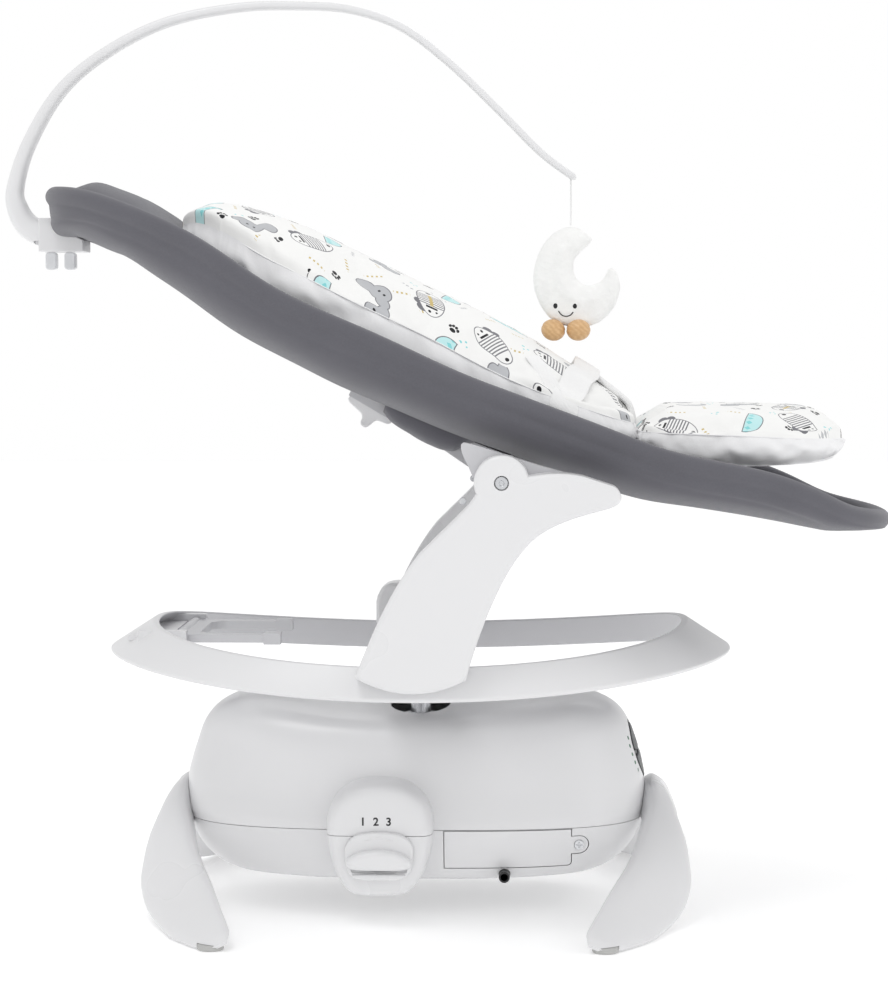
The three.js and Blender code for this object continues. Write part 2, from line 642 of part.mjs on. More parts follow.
/** A rack along Y with its teeth downward and its pitch line at the origin's height. */
function rack(teeth, thick, back) {
  const step = Math.PI * MODULE;
  const end = (teeth / 2) * step;
  const points = [[-end, back]];
  for (let i = 0; i < teeth; i += 1) {
    for (const [f, r] of [[0.19, 1.25], [0.37, -0.9], [0.63, -0.9], [0.81, 1.25]]) {
      points.push([-end + (i + f) * step, r * MODULE]);
    }
  }
  points.push([end, back]);
  return plate(outline(points), -thick / 2, thick / 2).rotateZ(Math.PI / 2);
}
add('drive_rack', at(rack(10, 10, 6), SHAFT_X, 0, pinionZ + PITCH + GAP), steel);
add('drive_pinion', carve(at(gear(TEETH, PITCH, 9), SHAFT_X, 0, pinionZ), {
  cuts: [rod('x', 3, SHAFT_X - 9, SHAFT_X + 9, 0, pinionZ, 16)],
}), innerGrey);
add('motor', carve(rod('x', 15, SHAFT_X - 62, SHAFT_X - 24, 0, pinionZ, 28), {
  adds: [rod('x', 2.7, SHAFT_X - 26, SHAFT_X + 8, 0, pinionZ, 14)],
}), steel);

// ---- electronics --------------------------------------------------------------------------

add('main_circuit_board', box(60, 150, -34, 40, 92, 93.6), green);
add('speaker', turned([
  [0, 36], [24, 36], [26, 38], [26, 42], [12, 52], [12, 60], [0, 60],
], 96, 14, 0, 28), blackPlastic);

// ---- rocker unit: cross member, uprights, kickstand, vibration unit ---------------------------

const MEMBER_LOW = 206;
const ringRoom = ringBand(0.5);
const memberBar = box(SHAFT_X - 30, SHAFT_X + 30, -200, 200, MEMBER_LOW, MEMBER_LOW + 22);
add('ring_cross_member', biggest(carve(memberBar, {
  cuts: [
    ringRoom,
    box(-400, 400, 198, 300, 150, 300),
    box(-400, 400, -300, -198, 150, 300),
    box(SHAFT_X - 25, SHAFT_X + 25, -180, -26, MEMBER_LOW - 1, MEMBER_LOW + 18),
    box(SHAFT_X - 25, SHAFT_X + 25, 26, 180, MEMBER_LOW - 1, MEMBER_LOW + 18),
    rod('z', 9 + 2 * GAP, 190, 222, SHAFT_X, 0, 28),
  ],
})), white);

// The upright seen from the side: foot, swept leg, round hub and a nose under the seat.
const HUB_R = 22.8;
function uprightShape() {
  const s = new THREE.Shape();
  s.moveTo(-67, 224);
  s.quadraticCurveTo(-21, 198, 25, 222);
  s.bezierCurveTo(32, 247, 37, 263, 48, 288);
  s.bezierCurveTo(57, 308, 65, 322, 77, 335);
  s.bezierCurveTo(92, 351, 118, 358, 141, 364);
  s.quadraticCurveTo(155, 368, 152.5, 376);
  s.quadraticCurveTo(151, 382, 145, 383.5);
  s.lineTo(122, 391);
  s.quadraticCurveTo(100, 396, 76.5, 391);
  s.absarc(PIVOT.x, PIVOT.z, HUB_R, 0.25, Math.PI + 0.42, false);
  s.bezierCurveTo(28, 366, 10, 350, -14, 326);
  s.bezierCurveTo(-38, 296, -52, 262, -67, 224);
  return s;
}
const pivotHole = (r, y0, y1) => rod('y', r, y0, y1, PIVOT.x, PIVOT.z, 20);
const SMALL_SCREW = { x: 22, z: 369 };
const uprightCut = [
  ringRoom,
  box(-400, 400, -198.3, 198.3, 190, MEMBER_LOW + 22.3),
  pivotHole(3.3, -240, 240),
];
for (const [name, side] of [['near', -1], ['far', 1]]) {
  const [y0, y1] = side < 0 ? [-UPRIGHT_OUT, -UPRIGHT_IN] : [UPRIGHT_IN, UPRIGHT_OUT];
  const outer = side * UPRIGHT_OUT;
  const inner = side * UPRIGHT_IN;
  add(`upright_${name}`, biggest(carve(plate(uprightShape(), y0, y1, 5, 8), {
    cuts: [
      ...uprightCut,
      pivotHole(6, outer - side * 4, outer + side * 10),
      rod('y', 3.4, inner - side * 5, inner + side * 2, SMALL_SCREW.x, SMALL_SCREW.z, 14),
    ],
  })), white);
  const head = rod('y', 5.4, outer - side * 3.6, outer - side * 0.6, PIVOT.x, PIVOT.z, 18);
  add(`pivot_screw_${name}`, carve(head, {
    adds: [pivotHole(3, outer - side * 3, side * 172)],
    cuts: [pivotHole(2.2, outer - side * 2.2, outer + side)],
  }), steel);
}

// Vibration unit on the far side of the ring.
const VIBE = { x0: -70, x1: 26, z0: 232, z1: 271 };
const vibeShape = new THREE.Shape();
vibeShape.moveTo(VIBE.x0, VIBE.z0);
vibeShape.lineTo(VIBE.x1, VIBE.z0);
vibeShape.lineTo(VIBE.x1, VIBE.z1);
vibeShape.lineTo(VIBE.x0 + 20, VIBE.z1);
vibeShape.quadraticCurveTo(VIBE.x0 + 3, VIBE.z1, VIBE.x0, VIBE.z1 - 18);
const vibeBlock = carve(plate(vibeShape, 150, UPRIGHT_IN - GAP, 3, 6), { cuts: [ringRoom] });
const vibeRoom = box(VIBE.x0 + 5, VIBE.x1 - 5, 155, UPRIGHT_IN - 6, VIBE.z0 + 5, VIBE.z1 - 5);
add('vibration_case', carve(vibeBlock, {
  cuts: [vibeRoom, rod('z', 9, VIBE.z1 - 10, VIBE.z1 + 5, -24, 170, 20)],
}), white);
add('vibration_button', carve(rod('z', 8.6, VIBE.z1 - 8, VIBE.z1 + 1.5, -24, 170, 20), {
  adds: [rod('z', 11, VIBE.z1 - 9.5, VIBE.z1 - 6.8, -24, 170, 20)],
}), darkPlastic);
add('vibration_motor', carve(rod('x', 8, -60, -30, 170, VIBE.z0 + 14, 18), {
  adds: [rod('x', 1.5, -31, -22, 170, VIBE.z0 + 14, 10)],
}), steel);

// Kickstand: a U of flat bar that folds down from the head end of the ring.
const STAND = { x: -233, z: 240, reach: 90, half: 68, bar: 15 };
const standShape = new THREE.Shape();
standShape.moveTo(0, -STAND.half);
standShape.lineTo(STAND.reach - 4, -STAND.half);
standShape.quadraticCurveTo(STAND.reach, -STAND.half, STAND.reach, -STAND.half + 4);
standShape.lineTo(STAND.reach, -STAND.half + STAND.bar);
standShape.lineTo(34, -STAND.half + STAND.bar);
standShape.quadraticCurveTo(18, -STAND.half + STAND.bar + 1, 17, -STAND.half + 2 * STAND.bar);
standShape.lineTo(17, STAND.half - 2 * STAND.bar);
standShape.quadraticCurveTo(18, STAND.half - STAND.bar - 1, 34, STAND.half - STAND.bar);
standShape.lineTo(STAND.reach, STAND.half - STAND.bar);
standShape.lineTo(STAND.reach, STAND.half - 4);
standShape.quadraticCurveTo(STAND.reach, STAND.half, STAND.reach - 4, STAND.half);
standShape.lineTo(0, STAND.half);
const standFlat = new THREE.ExtrudeGeometry(standShape, {
  depth: 7,
  bevelEnabled: false,
  curveSegments: 6,
});
add('kickstand', carve(at(standFlat, STAND.x, 0, STAND.z - 3.5), {
  adds: [
    rod('y', 5.5, -STAND.half, STAND.half, STAND.x, STAND.z, 16),
    rod('y', 3, -STAND.half - 8, STAND.half + 8, STAND.x, STAND.z, 16),
    ...[-1, 1].map((side) => box(
      STAND.x + STAND.reach - 14,
      STAND.x + STAND.reach + 1,
      side * (STAND.half - STAND.bar / 2) - 9,
      side * (STAND.half - STAND.bar / 2) + 9,
      STAND.z - 5,
      STAND.z + 5,
    )),
  ],
}), white);

// The ring with the two lugs that hold the kickstand's pin and the flat shelf between them.
add('rocker_ring', carve(ringBand(0), {
  adds: [
    ...[-1, 1].map((side) => carve(box(
      STAND.x - 34,
      STAND.x + 9,
      side * (STAND.half + 6) - 5,
      side * (STAND.half + 6) + 5,
      STAND.z - 10,
      STAND.z + 8,
    ), { cuts: [rod('y', 3 + GAP, -120, 120, STAND.x, STAND.z, 16)] })),
    box(STAND.x - 44, STAND.x - 8, -STAND.half, STAND.half, STAND.z - 2, STAND.z + 2),
  ],
}), white);

// ---- seat ---------------------------------------------------------------------------------

const SEAT_HEAD = -346;
const SEAT_FOOT = 389;
const TUBE_R = 7;
const RIM = [
  [-346, 630], [-312, 625], [-276, 614], [-217, 588], [-134, 536], [-51, 499], [21, 466],
  [69, 448], [123, 428], [197, 401], [276, 384], [313, 371], [355, 352], [389, 345],
];
const KEEL = [
  [-346, 606], [-333, 597], [-293, 583], [-216, 537], [-171, 506], [-116, 476], [-87, 461],
  [-38, 441], [26, 415], [60, 403], [90, 391.5], [124, 380], [150, 371], [180, 363], [225, 356],
  [290, 346], [340, 336], [352, 333.5],
];

/** Half width of the seat's rim at x, never less than its blunt ends. */
function seatHalf(x) {
  const t = (2 * (x - SEAT_HEAD)) / (SEAT_FOOT - SEAT_HEAD) - 1;
  return (SEAT_WIDE - TUBE_R - 1) * Math.max(0, 1 - Math.abs(t) ** 3.2) ** (1 / 2.6);
}

const rimPoints = [];
for (const side of [-1, 1]) {
  const xs = [-343, -334, -312, -276, -217, -134, -51, 21, 69, 123, 197, 276, 325, 355, 374, 383];
  if (side > 0) xs.reverse();
  rimPoints.push([side < 0 ? SEAT_HEAD : SEAT_FOOT, 0, side < 0 ? 630 : 345]);
  for (const x of xs) rimPoints.push([x, side * seatHalf(x), along(RIM, x)]);
}
const frameTube = (radius) => tube(rimPoints, radius, { closedLoop: true, steps: 64, sides: 4 });
add('seat_frame', frameTube(TUBE_R), steel);

const SLING_FOOT = 352;          // beyond here the fabric only wraps the tube
const SLING_STEPS = 20;
const ACROSS = 13;               // points across each face of the sling

/** One face of the hull at x: points from one rim down past the keel and up to the other. */
function hullLine(x, inset, floor) {
  const half = Math.max(24, seatHalf(x) + 2) - inset;
  const top = along(RIM, x) - TUBE_R - 3;
  const drop = top - along(KEEL, x) - floor;
  return Array.from({ length: ACROSS }, (_, i) => {
    const t = (Math.PI * i) / (ACROSS - 1);
    const c = Math.sign(Math.cos(t)) * Math.abs(Math.cos(t)) ** 0.62;
    return new THREE.Vector3(x, half * c, top - drop * Math.abs(Math.sin(t)) ** 0.8);
  });
}
const slingStations = Array.from({ length: SLING_STEPS }, (_, i) => {
  const t = i / (SLING_STEPS - 1);
  return SEAT_HEAD + 2 + (SLING_FOOT - SEAT_HEAD - 2) * (0.5 - 0.5 * Math.cos(Math.PI * t)) ** 0.98;
});
const SLING_THICK = 6;
const slingShell = loft(
  slingStations.map((x) => [...hullLine(x, 0, 0), ...hullLine(x, SLING_THICK, SLING_THICK).reverse()]),
  { strip: true },
);
const slingHull = (grow) => loft(slingStations.map((x) => [
  ...hullLine(x, -grow, -grow),
  ...hullLine(x, -grow, -grow).reverse().slice(1, -1).map((p) => p.clone().setZ(along(RIM, x) + 30)),
]));
add('sling', slingShell, charcoal);

/** A cushion as a loft of closed sections: crowned top, side seam and a floor that follows the hull. */
function cushion({ from, to, wide, square, crown, seam, floor, steps }) {
  const stations = Array.from({ length: steps }, (_, i) => {
    const t = i / (steps - 1);
    return from + (to - from) * (0.5 - 0.5 * Math.cos(Math.PI * t));
  });
  const length = to - from;
  return loft(stations.map((x) => {
    const t = Math.min(0.995, Math.abs((2 * (x - from)) / length - 1));
    const half = wide * (1 - t ** square) ** (1 / square);
    const [top, side, low] = [along(crown, x), along(seam, x), along(floor, x)];
    return Array.from({ length: 20 }, (_, i) => {
      const a = (2 * Math.PI * i) / 20;
      const c = Math.sign(Math.cos(a)) * Math.abs(Math.cos(a)) ** 0.6;
      const s = Math.sin(a);
      const z = s >= 0 ? side + (top - side) * s ** 0.8 : side - (side - low) * Math.abs(s) ** 0.45;
      return new THREE.Vector3(x, half * c, z);
    });
  }));
}
const CUSHION_BACK = {
  from: -234,
  to: 169,
  wide: 140,
  square: 3,
  crown: [[-234, 606], [-214, 620], [-154, 609], [-52, 562], [68, 502], [150, 452], [169, 436]],
  seam: [[-234, 600], [-218, 603], [-140, 566], [-72, 532], [-15, 505], [68, 463], [150, 434], [169, 428]],
  floor: [[-234, 588], [-210, 560], [-116, 506], [-38, 462], [26, 434], [90, 418], [150, 405], [169, 404]],
  steps: 18,
};
const CUSHION_LEG = {
  from: 171.5,
  to: 356,
  wide: 128,
  square: 3.4,
  crown: [[171, 436], [195, 441], [300, 440], [345, 433], [356, 420]],
  seam: [[171, 424], [260, 421], [356, 416]],
  floor: [[171, 404], [200, 398], [260, 395], [340, 400], [356, 410]],
  steps: 12,
};
const backSolid = biggest(carve(cushion(CUSHION_BACK), { cuts: [slingShell, frameTube(TUBE_R + 1)] }));
const legSolid = biggest(carve(cushion(CUSHION_LEG), { cuts: [slingShell, frameTube(TUBE_R + 1)] }));
add('cushion_back', backSolid, printed);
add('cushion_leg', legSolid, printed);

const strapShape = outline([
  [112, 440], [113, 449], [98, 459], [122.5, 484], [138.5, 466], [130, 455], [133, 440],
]);
add('crotch_strap', biggest(carve(plate(strapShape, -19, 19), {
  cuts: [cushion({ ...CUSHION_BACK, wide: 140.4, crown: CUSHION_BACK.crown.map(([x, z]) => [x, z + 0.4]) })],
})), white);

// Bracket under the seat: a cheek at each pivot, joined by a beam, with the recline handle behind.
const cheekShape = smoothOutline([
  [36, 376], [54, 366], [80, 372], [128, 376], [148, 380], [120, 389], [86, 398.5], [53, 409],
  [30, 416], [21, 417], [21, 409], [28, 394],
], 30);
const armShape = outline([
  [56, 370], [26, 388], [2, 404.5], [-50, 434], [-74, 448], [-84, 454], [-81, 460], [-46, 446.5],
  [0, 423], [60, 400],
]);
add('seat_bracket', biggest(carve(plate(cheekShape, -UPRIGHT_IN + 1, -UPRIGHT_IN + 13), {
  adds: [
    plate(cheekShape, UPRIGHT_IN - 13, UPRIGHT_IN - 1),
    plate(roundedRect(36, 84, 366, 386, 6), -UPRIGHT_IN + 3, UPRIGHT_IN - 3),
    plate(armShape, -30, 30),
  ],
  cuts: [
    slingHull(1.2),
    frameTube(TUBE_R + 0.6),
    pivotHole(3.3, -200, 200),
    box(-110, -38, -13, 13, 400, 480),
  ],
})), innerGrey);
add('recline_handle', plate(smoothOutline([
  [-86, 450], [-79, 455], [-66, 447], [-50, 437], [-46, 431], [-50, 427.5], [-60, 431],
  [-65, 428], [-70, 424.5], [-75, 428], [-73, 436], [-80, 443],
], 26), -12, 12), white);

// ---- toy bar ------------------------------------------------------------------------------

const BAR_PATH = [
  [-350, 595], [-360, 598], [-375, 606], [-384, 621], [-386, 640], [-373, 680], [-343, 728],
  [-299, 763], [-246, 788], [-184, 800], [-134, 801.5], [-84, 798], [-38, 782], [5, 750],
  [50, 707], [87, 670], [118, 647],
];
const barWide = [[0, 11], [0.12, 12], [0.3, 10], [0.6, 8], [1, 5]];
const barThick = [[0, 9], [0.08, 11.5], [0.16, 10], [0.3, 6.5], [0.6, 4], [1, 3.2]];
const barStops = BAR_PATH.map(([x, z]) => new THREE.Vector3(x, 0, z));
const barCurve = new THREE.CatmullRomCurve3(barStops, false, 'centripetal');
const BAR_STEPS = 34;
const barRings = Array.from({ length: BAR_STEPS + 1 }, (_, i) => {
  const t = i / BAR_STEPS;
  const p = barCurve.getPointAt(t);
  const tangent = barCurve.getTangentAt(t);
  const out = new THREE.Vector3(-tangent.z, 0, tangent.x);
  return Array.from({ length: 8 }, (_, k) => {
    const a = (2 * Math.PI * (k + 0.5)) / 8;
    const c = Math.sign(Math.cos(a)) * Math.abs(Math.cos(a)) ** 0.6;
    const s = Math.sign(Math.sin(a)) * Math.abs(Math.sin(a)) ** 0.6;
    return p.clone().addScaledVector(out, c * along(barThick, t)).setY(s * along(barWide, t));
  });
});
const barHull = slingHull(2);
add('toy_bar', carve(loft(barRings), {
  adds: [rod('y', 9, -11, 11, -350, 595, 20)],
  cuts: [barHull],
}), white);
add('toy_bar_clamp', biggest(carve(box(-362, -322, -21, 21, 582, 612), {
  cuts: [
    slingHull(0.8),
    frameTube(TUBE_R + 1),
    box(-400, -338, -11.4, 11.4, 570, 640),
  ],
})), white);
for (const [name, x] of [['clamp_lever_head', -352], ['clamp_lever_foot', -335]]) {
  add(name, plate(roundedRect(x - 5, x + 5, 566, 581.5, 3), -15, -4), clearWhite);
}

// ---- hanging toy --------------------------------------------------------------------------

const stringTop = 643.5;
add('toy_string', rod('z', 0.8, stringTop - STRING, stringTop, HOOK_X, 0, 8), white);
const moonShape = smoothOutline([
  [113.4, 605], [124, 601], [132, 594], [124, 585], [117, 575], [118, 561], [129, 552],
  [143, 556], [150, 567], [156, 562], [158.5, 549], [154, 534], [144, 522], [131, 515.6],
  [112, 515], [95, 523], [83.5, 541], [80, 561], [86, 584], [98, 599],
], 44);
add('moon_toy', plate(moonShape, -15, 15), plush);
for (const [name, x, tilt] of [['toy_foot_head', 98, 0.25], ['toy_foot_foot', 120.5, -0.1]]) {
  const foot = new THREE.SphereGeometry(1, 14, 8).scale(10.8, 13, 9.6).rotateY(tilt);
  add(name, biggest(carve(at(foot, x, -11, 512), { cuts: [plate(moonShape, -17.4, 17.4)] })), wood);
}

export default group;
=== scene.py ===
"""Looks of a baby swing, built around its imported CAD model. Metres, +Z up, near side along -Y."""
import math

import bmesh
import bpy
import numpy as np
from mathutils import Matrix, Vector, geometry, noise


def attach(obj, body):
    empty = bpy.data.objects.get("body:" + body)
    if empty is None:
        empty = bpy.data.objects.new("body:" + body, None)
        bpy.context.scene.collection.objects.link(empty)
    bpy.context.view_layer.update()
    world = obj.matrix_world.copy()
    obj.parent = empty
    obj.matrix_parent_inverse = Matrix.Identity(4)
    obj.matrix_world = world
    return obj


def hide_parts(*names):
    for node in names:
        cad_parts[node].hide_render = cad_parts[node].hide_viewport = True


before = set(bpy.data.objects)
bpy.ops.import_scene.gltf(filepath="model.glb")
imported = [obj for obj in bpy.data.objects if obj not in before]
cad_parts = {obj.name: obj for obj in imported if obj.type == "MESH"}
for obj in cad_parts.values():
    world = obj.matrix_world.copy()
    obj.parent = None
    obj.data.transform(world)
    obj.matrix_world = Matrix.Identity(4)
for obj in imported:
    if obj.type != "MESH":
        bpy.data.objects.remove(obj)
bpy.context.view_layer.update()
MM = 0.001
scene = bpy.context.scene


# ---- camera, floor and light ------------------------------------------------------------------

def make_stage():
    """Camera at the level of the seat's foot, a pale floor plane, a white backdrop from the world as the
    camera sees it, soft studio light.
    """
    data = bpy.data.cameras.new("camera")
    data.sensor_width, data.lens = 36, 100
    camera = bpy.data.objects.new("camera", data)
    scene.collection.objects.link(camera)
    camera.location = Vector((81, -2500, 503)) * MM
    aim = Vector((0, 0, 359)) * MM - camera.location
    camera.rotation_mode = "QUATERNION"
    camera.rotation_quaternion = aim.to_track_quat("-Z", "Y")
    scene.camera = camera

    floor = mesh_object("floor", [(-9, -9, 0), (9, -9, 0), (9, 9, 0), (-9, 9, 0)], [(0, 1, 2, 3)])
    paper = shader("floor_paper", (0.96, 0.96, 0.96), rough=0.7, specular=0.1)
    lift = paper.node_tree.nodes["Principled BSDF"].inputs
    lift["Emission Color"].default_value = (1, 1, 1, 1)
    lift["Emission Strength"].default_value = 0.2
    floor.data.materials.append(paper)

    world = bpy.data.worlds.new("studio")
    scene.world = world
    world.use_nodes = True
    tree = world.node_tree
    sky = tree.nodes["Background"]
    sky.inputs["Color"].default_value = (1, 1, 1, 1)
    sky.inputs["Strength"].default_value = 0.86
    backdrop = tree.nodes.new("ShaderNodeBackground")
    backdrop.inputs["Color"].default_value = (1, 1, 1, 1)
    backdrop.inputs["Strength"].default_value = 1.0
    choose, ray = tree.nodes.new("ShaderNodeMixShader"), tree.nodes.new("ShaderNodeLightPath")
    tree.links.new(ray.outputs["Is Camera Ray"], choose.inputs[0])
    tree.links.new(sky.outputs[0], choose.inputs[1])
    tree.links.new(backdrop.outputs[0], choose.inputs[2])
    tree.links.new(choose.outputs[0], tree.nodes["World Output"].inputs["Surface"])
    for name, place, size, power in (
        ("key", (-0.9, -1.3, 3.2), 1.3, 17),
        ("fill", (2.4, -1.4, 1.2), 1.6, 5),
        ("back", (0.5, 2.0, 2.6), 1.8, 9),
    ):
        lamp_data = bpy.data.lights.new(name, "AREA")
        lamp_data.shape = "DISK"
        lamp_data.size, lamp_data.energy = size, power
        lamp = bpy.data.objects.new(name, lamp_data)
        lamp.location = place
        lamp.rotation_mode = "QUATERNION"
        lamp.rotation_quaternion = (Vector((0, 0, 0.35)) - lamp.location).to_track_quat("-Z", "Y")
        scene.collection.objects.link(lamp)
    scene.view_settings.view_transform = "Standard"


# ---- node helpers -----------------------------------------------------------------------------

class Nodes:
    """Short ways to add and join shader nodes in one material."""

    def __init__(self, name):
        self.material = bpy.data.materials.new(name)
        self.material.use_nodes = True
        self.tree = self.material.node_tree
        self.bsdf = self.tree.nodes["Principled BSDF"]

    def put(self, kind, **settings):
        node = self.tree.nodes.new(kind)
        for key, value in settings.items():
            setattr(node, key, value)
        return node

    def link(self, output, socket):
        self.tree.links.new(output, socket)

    def feed(self, socket, value):
        """A number or colour is set on the socket; a node's output is joined to it."""
        if isinstance(value, bpy.types.NodeSocket):
            self.link(value, socket)
        else:
            socket.default_value = value

    def math(self, operation, a, b=0.0, c=0.0, clamp=False):
        node = self.put("ShaderNodeMath", operation=operation, use_clamp=clamp)
        for socket, value in zip(node.inputs, (a, b, c)):
            self.feed(socket, value)
        return node.outputs[0]

    def mix(self, factor, a, b):
        node = self.put("ShaderNodeMix", data_type="RGBA")
        self.feed(node.inputs[0], factor)
        for socket, value in ((node.inputs[6], a), (node.inputs[7], b)):
            self.feed(socket, value if isinstance(value, bpy.types.NodeSocket) else (*value, 1))
        return node.outputs[2]

    def place(self, source="Object", scale=1.0, rotation=(0, 0, 0)):
        """Coordinates of the surface, scaled and turned."""
        mapping = self.put("ShaderNodeMapping")
        mapping.inputs["Scale"].default_value = (scale,) * 3 if isinstance(scale, (int, float)) else scale
        mapping.inputs["Rotation"].default_value = rotation
        self.link(self.put("ShaderNodeTexCoord").outputs[source], mapping.inputs[0])
        return mapping.outputs[0]

    def noise(self, vector, scale, detail=3.0, rough=0.5):
        node = self.put("ShaderNodeTexNoise")
        self.link(vector, node.inputs["Vector"])
        node.inputs["Scale"].default_value = scale
        node.inputs["Detail"].default_value = detail
        node.inputs["Roughness"].default_value = rough
        return node.outputs["Fac"]

    def wave(self, vector, scale, direction="X", distortion=0.0):
        node = self.put("ShaderNodeTexWave", bands_direction=direction)
        self.link(vector, node.inputs["Vector"])
        node.inputs["Scale"].default_value = scale
        node.inputs["Distortion"].default_value = distortion
        return node.outputs["Fac"]

    def ramp(self, value, low, high, out_low=0.0, out_high=1.0):
        node = self.put("ShaderNodeMapRange")
        self.feed(node.inputs[0], value)
        for socket, number in zip(node.inputs[1:5], (low, high, out_low, out_high)):
            socket.default_value = number
        return node.outputs[0]

    def bump(self, height, strength=0.3, distance=0.001, normal=None):
        node = self.put("ShaderNodeBump")
        node.inputs["Strength"].default_value = strength
        node.inputs["Distance"].default_value = distance
        self.link(height, node.inputs["Height"])
        if normal is not None:
            self.link(normal, node.inputs["Normal"])
        return node.outputs[0]

    def finish(self, color=None, rough=None, normal=None, **fixed):
        if color is not None:
            is_socket = isinstance(color, bpy.types.NodeSocket)
            self.feed(self.bsdf.inputs["Base Color"], color if is_socket else (*color, 1))
        if rough is not None:
            self.feed(self.bsdf.inputs["Roughness"], rough)
        if normal is not None:
            self.link(normal, self.bsdf.inputs["Normal"])
        for name, value in fixed.items():
            self.bsdf.inputs[name.replace("_", " ")].default_value = value
        return self.material


def shader(name, color, rough=0.5, specular=0.5):
    n = Nodes(name)
    return n.finish(color, rough, **{"Specular_IOR_Level": specular})


# ---- materials --------------------------------------------------------------------------------

def moulded_plastic(name, color, rough=0.3, grain=0.05, tint=0.01):
    """Injection-moulded plastic: a faint drift of shade and gloss, and a trace of spark-eroded grain."""
    n = Nodes(name)
    where = n.place()
    drift = n.ramp(n.noise(where, 5, 2), 0.3, 0.7)
    base = n.mix(drift, tuple(c * (1 - tint) for c in color), color)
    roughness = n.ramp(n.noise(where, 12, 2), 0.3, 0.7, rough - 0.03, rough + 0.03)
    skin = n.bump(n.noise(where, 1600, 2), grain, 0.0002)
    return n.finish(base, roughness, skin, Subsurface_Weight=0.05, Subsurface_Radius=(0.004, 0.004, 0.004))


def woven_fabric(name, color, thread=0.0007, fleck=0.1, sheen=0.25, depth=0.3):
    """Plain weave: threads as fine bump, and lighter and darker yarn flecks in the colour."""
    n = Nodes(name)
    where = n.place()
    per_metre = 1 / thread / 3
    skewed = n.place(rotation=(0.35, 0.6, 0.785))
    weave = n.math("MULTIPLY", n.wave(skewed, per_metre, "X", 0.6), n.wave(skewed, per_metre, "Y", 0.6))
    yarn = n.noise(where, 900, 4, 0.7)
    slow = n.noise(where, 14, 3)
    level = n.math("ADD", n.ramp(yarn, 0.25, 0.75, 1 - fleck, 1 + fleck), n.ramp(slow, 0.3, 0.7, -0.05, 0.05))
    tone = n.put("ShaderNodeHueSaturation")
    tone.inputs["Color"].default_value = (*color, 1)
    n.link(level, tone.inputs["Value"])
    fine = n.bump(n.math("ADD", n.math("MULTIPLY", weave, 0.6), yarn), depth, 0.0004)
    return n.finish(tone.outputs[0], n.ramp(yarn, 0.3, 0.7, 0.82, 0.95), fine,
                    Sheen_Weight=sheen, Sheen_Roughness=0.5, Specular_IOR_Level=0.25)


WHITE = (0.76, 0.76, 0.77)
materials = {}


def make_materials():
    m = materials
    m["white"] = moulded_plastic("white_plastic", WHITE, 0.30)
    m["ring"] = moulded_plastic("ring_plastic", WHITE, 0.34)
    m["inner"] = moulded_plastic("inner_plastic", (0.52, 0.52, 0.54), 0.5, 0.1)
    # grey: the kickstand's grey, and painted shade on the ring's inner face and on the seat bracket
    m["grey"] = moulded_plastic("grey_plastic", (0.60, 0.60, 0.62), 0.45, 0.1)
    m["clear"] = moulded_plastic("milky_plastic", (0.72, 0.73, 0.75), 0.2)
    m["keypad"] = moulded_plastic("keypad_plastic", (0.07, 0.075, 0.08), 0.42, 0.15)
    m["black"] = moulded_plastic("black_plastic", (0.012, 0.012, 0.013), 0.4)
    m["green"] = moulded_plastic("green_lens", (0.05, 0.16, 0.09), 0.3)
    m["rubber"] = moulded_plastic("pad_rubber", (0.48, 0.48, 0.47), 0.8, 0.4)
    m["sling"] = woven_fabric("sling_fabric", (0.120, 0.119, 0.136))
    m["strap_dark"] = woven_fabric("dark_webbing", (0.02, 0.02, 0.022), 0.0014, 0.1, 0.1, 0.6)
    m["webbing"] = woven_fabric("white_webbing", (0.85, 0.85, 0.85), 0.0014, 0.03, 0.1, 0.5)
    m["wall"] = woven_fabric("cushion_wall", (0.86, 0.86, 0.87), 0.0006, 0.02, 0.2, 0.25)
    m["steel"] = brushed_metal("bright_steel", (0.62, 0.63, 0.65), 0.28)
    m["can"] = brushed_metal("plain_can", (0.42, 0.43, 0.45), 0.4)
    m["frame"] = moulded_plastic("powder_coat", (0.10, 0.10, 0.11), 0.5, 0.5)
    m["board"] = moulded_plastic("solder_mask", (0.02, 0.14, 0.06), 0.35)
    m["print"] = printed_fabric()
    m["plush"] = plush()
    m["wood"] = turned_wood()
    m["thread"] = shader("dark_thread", (0.02, 0.02, 0.022), 0.8)
    m["digit"] = shader("digit_ink", (0.01, 0.01, 0.012), 0.45)


def brushed_metal(name, color, rough):
    n = Nodes(name)
    streaks = n.noise(n.place(scale=(40, 900, 40)), 1, 3)
    return n.finish(color, n.ramp(streaks, 0.3, 0.7, rough - 0.08, rough + 0.1),
                    n.bump(streaks, 0.15, 0.0003), Metallic=1.0)


def plush():
    n = Nodes("white_plush")
    where = n.place()
    pile = n.noise(where, 520, 5, 0.75)
    clump = n.noise(where, 90, 3)
    shade = n.mix(n.ramp(clump, 0.3, 0.7), (0.90, 0.90, 0.89), (0.95, 0.95, 0.94))
    rough_pile = n.bump(pile, 0.6, 0.0012)
    return n.finish(shade, 0.95, n.bump(clump, 0.25, 0.003, rough_pile), Sheen_Weight=0.6,
                    Sheen_Roughness=0.6, Specular_IOR_Level=0.1)


def turned_wood():
    n = Nodes("toy_wood")
    grain = n.wave(n.place(scale=(1, 1, 5), rotation=(0.3, 0.2, 0)), 60, "X", 5.0)
    fibre = n.noise(n.place(scale=(300, 60, 300)), 1, 4)
    base = n.mix(n.ramp(grain, 0, 1, 0.2, 0.8), (0.62, 0.37, 0.17), (0.78, 0.52, 0.27))
    base = n.mix(n.ramp(fibre, 0.3, 0.7, 0, 0.35), base, (0.50, 0.28, 0.12))
    return n.finish(base, n.ramp(fibre, 0.3, 0.7, 0.42, 0.6), n.bump(fibre, 0.15, 0.0005), Coat_Weight=0.15)


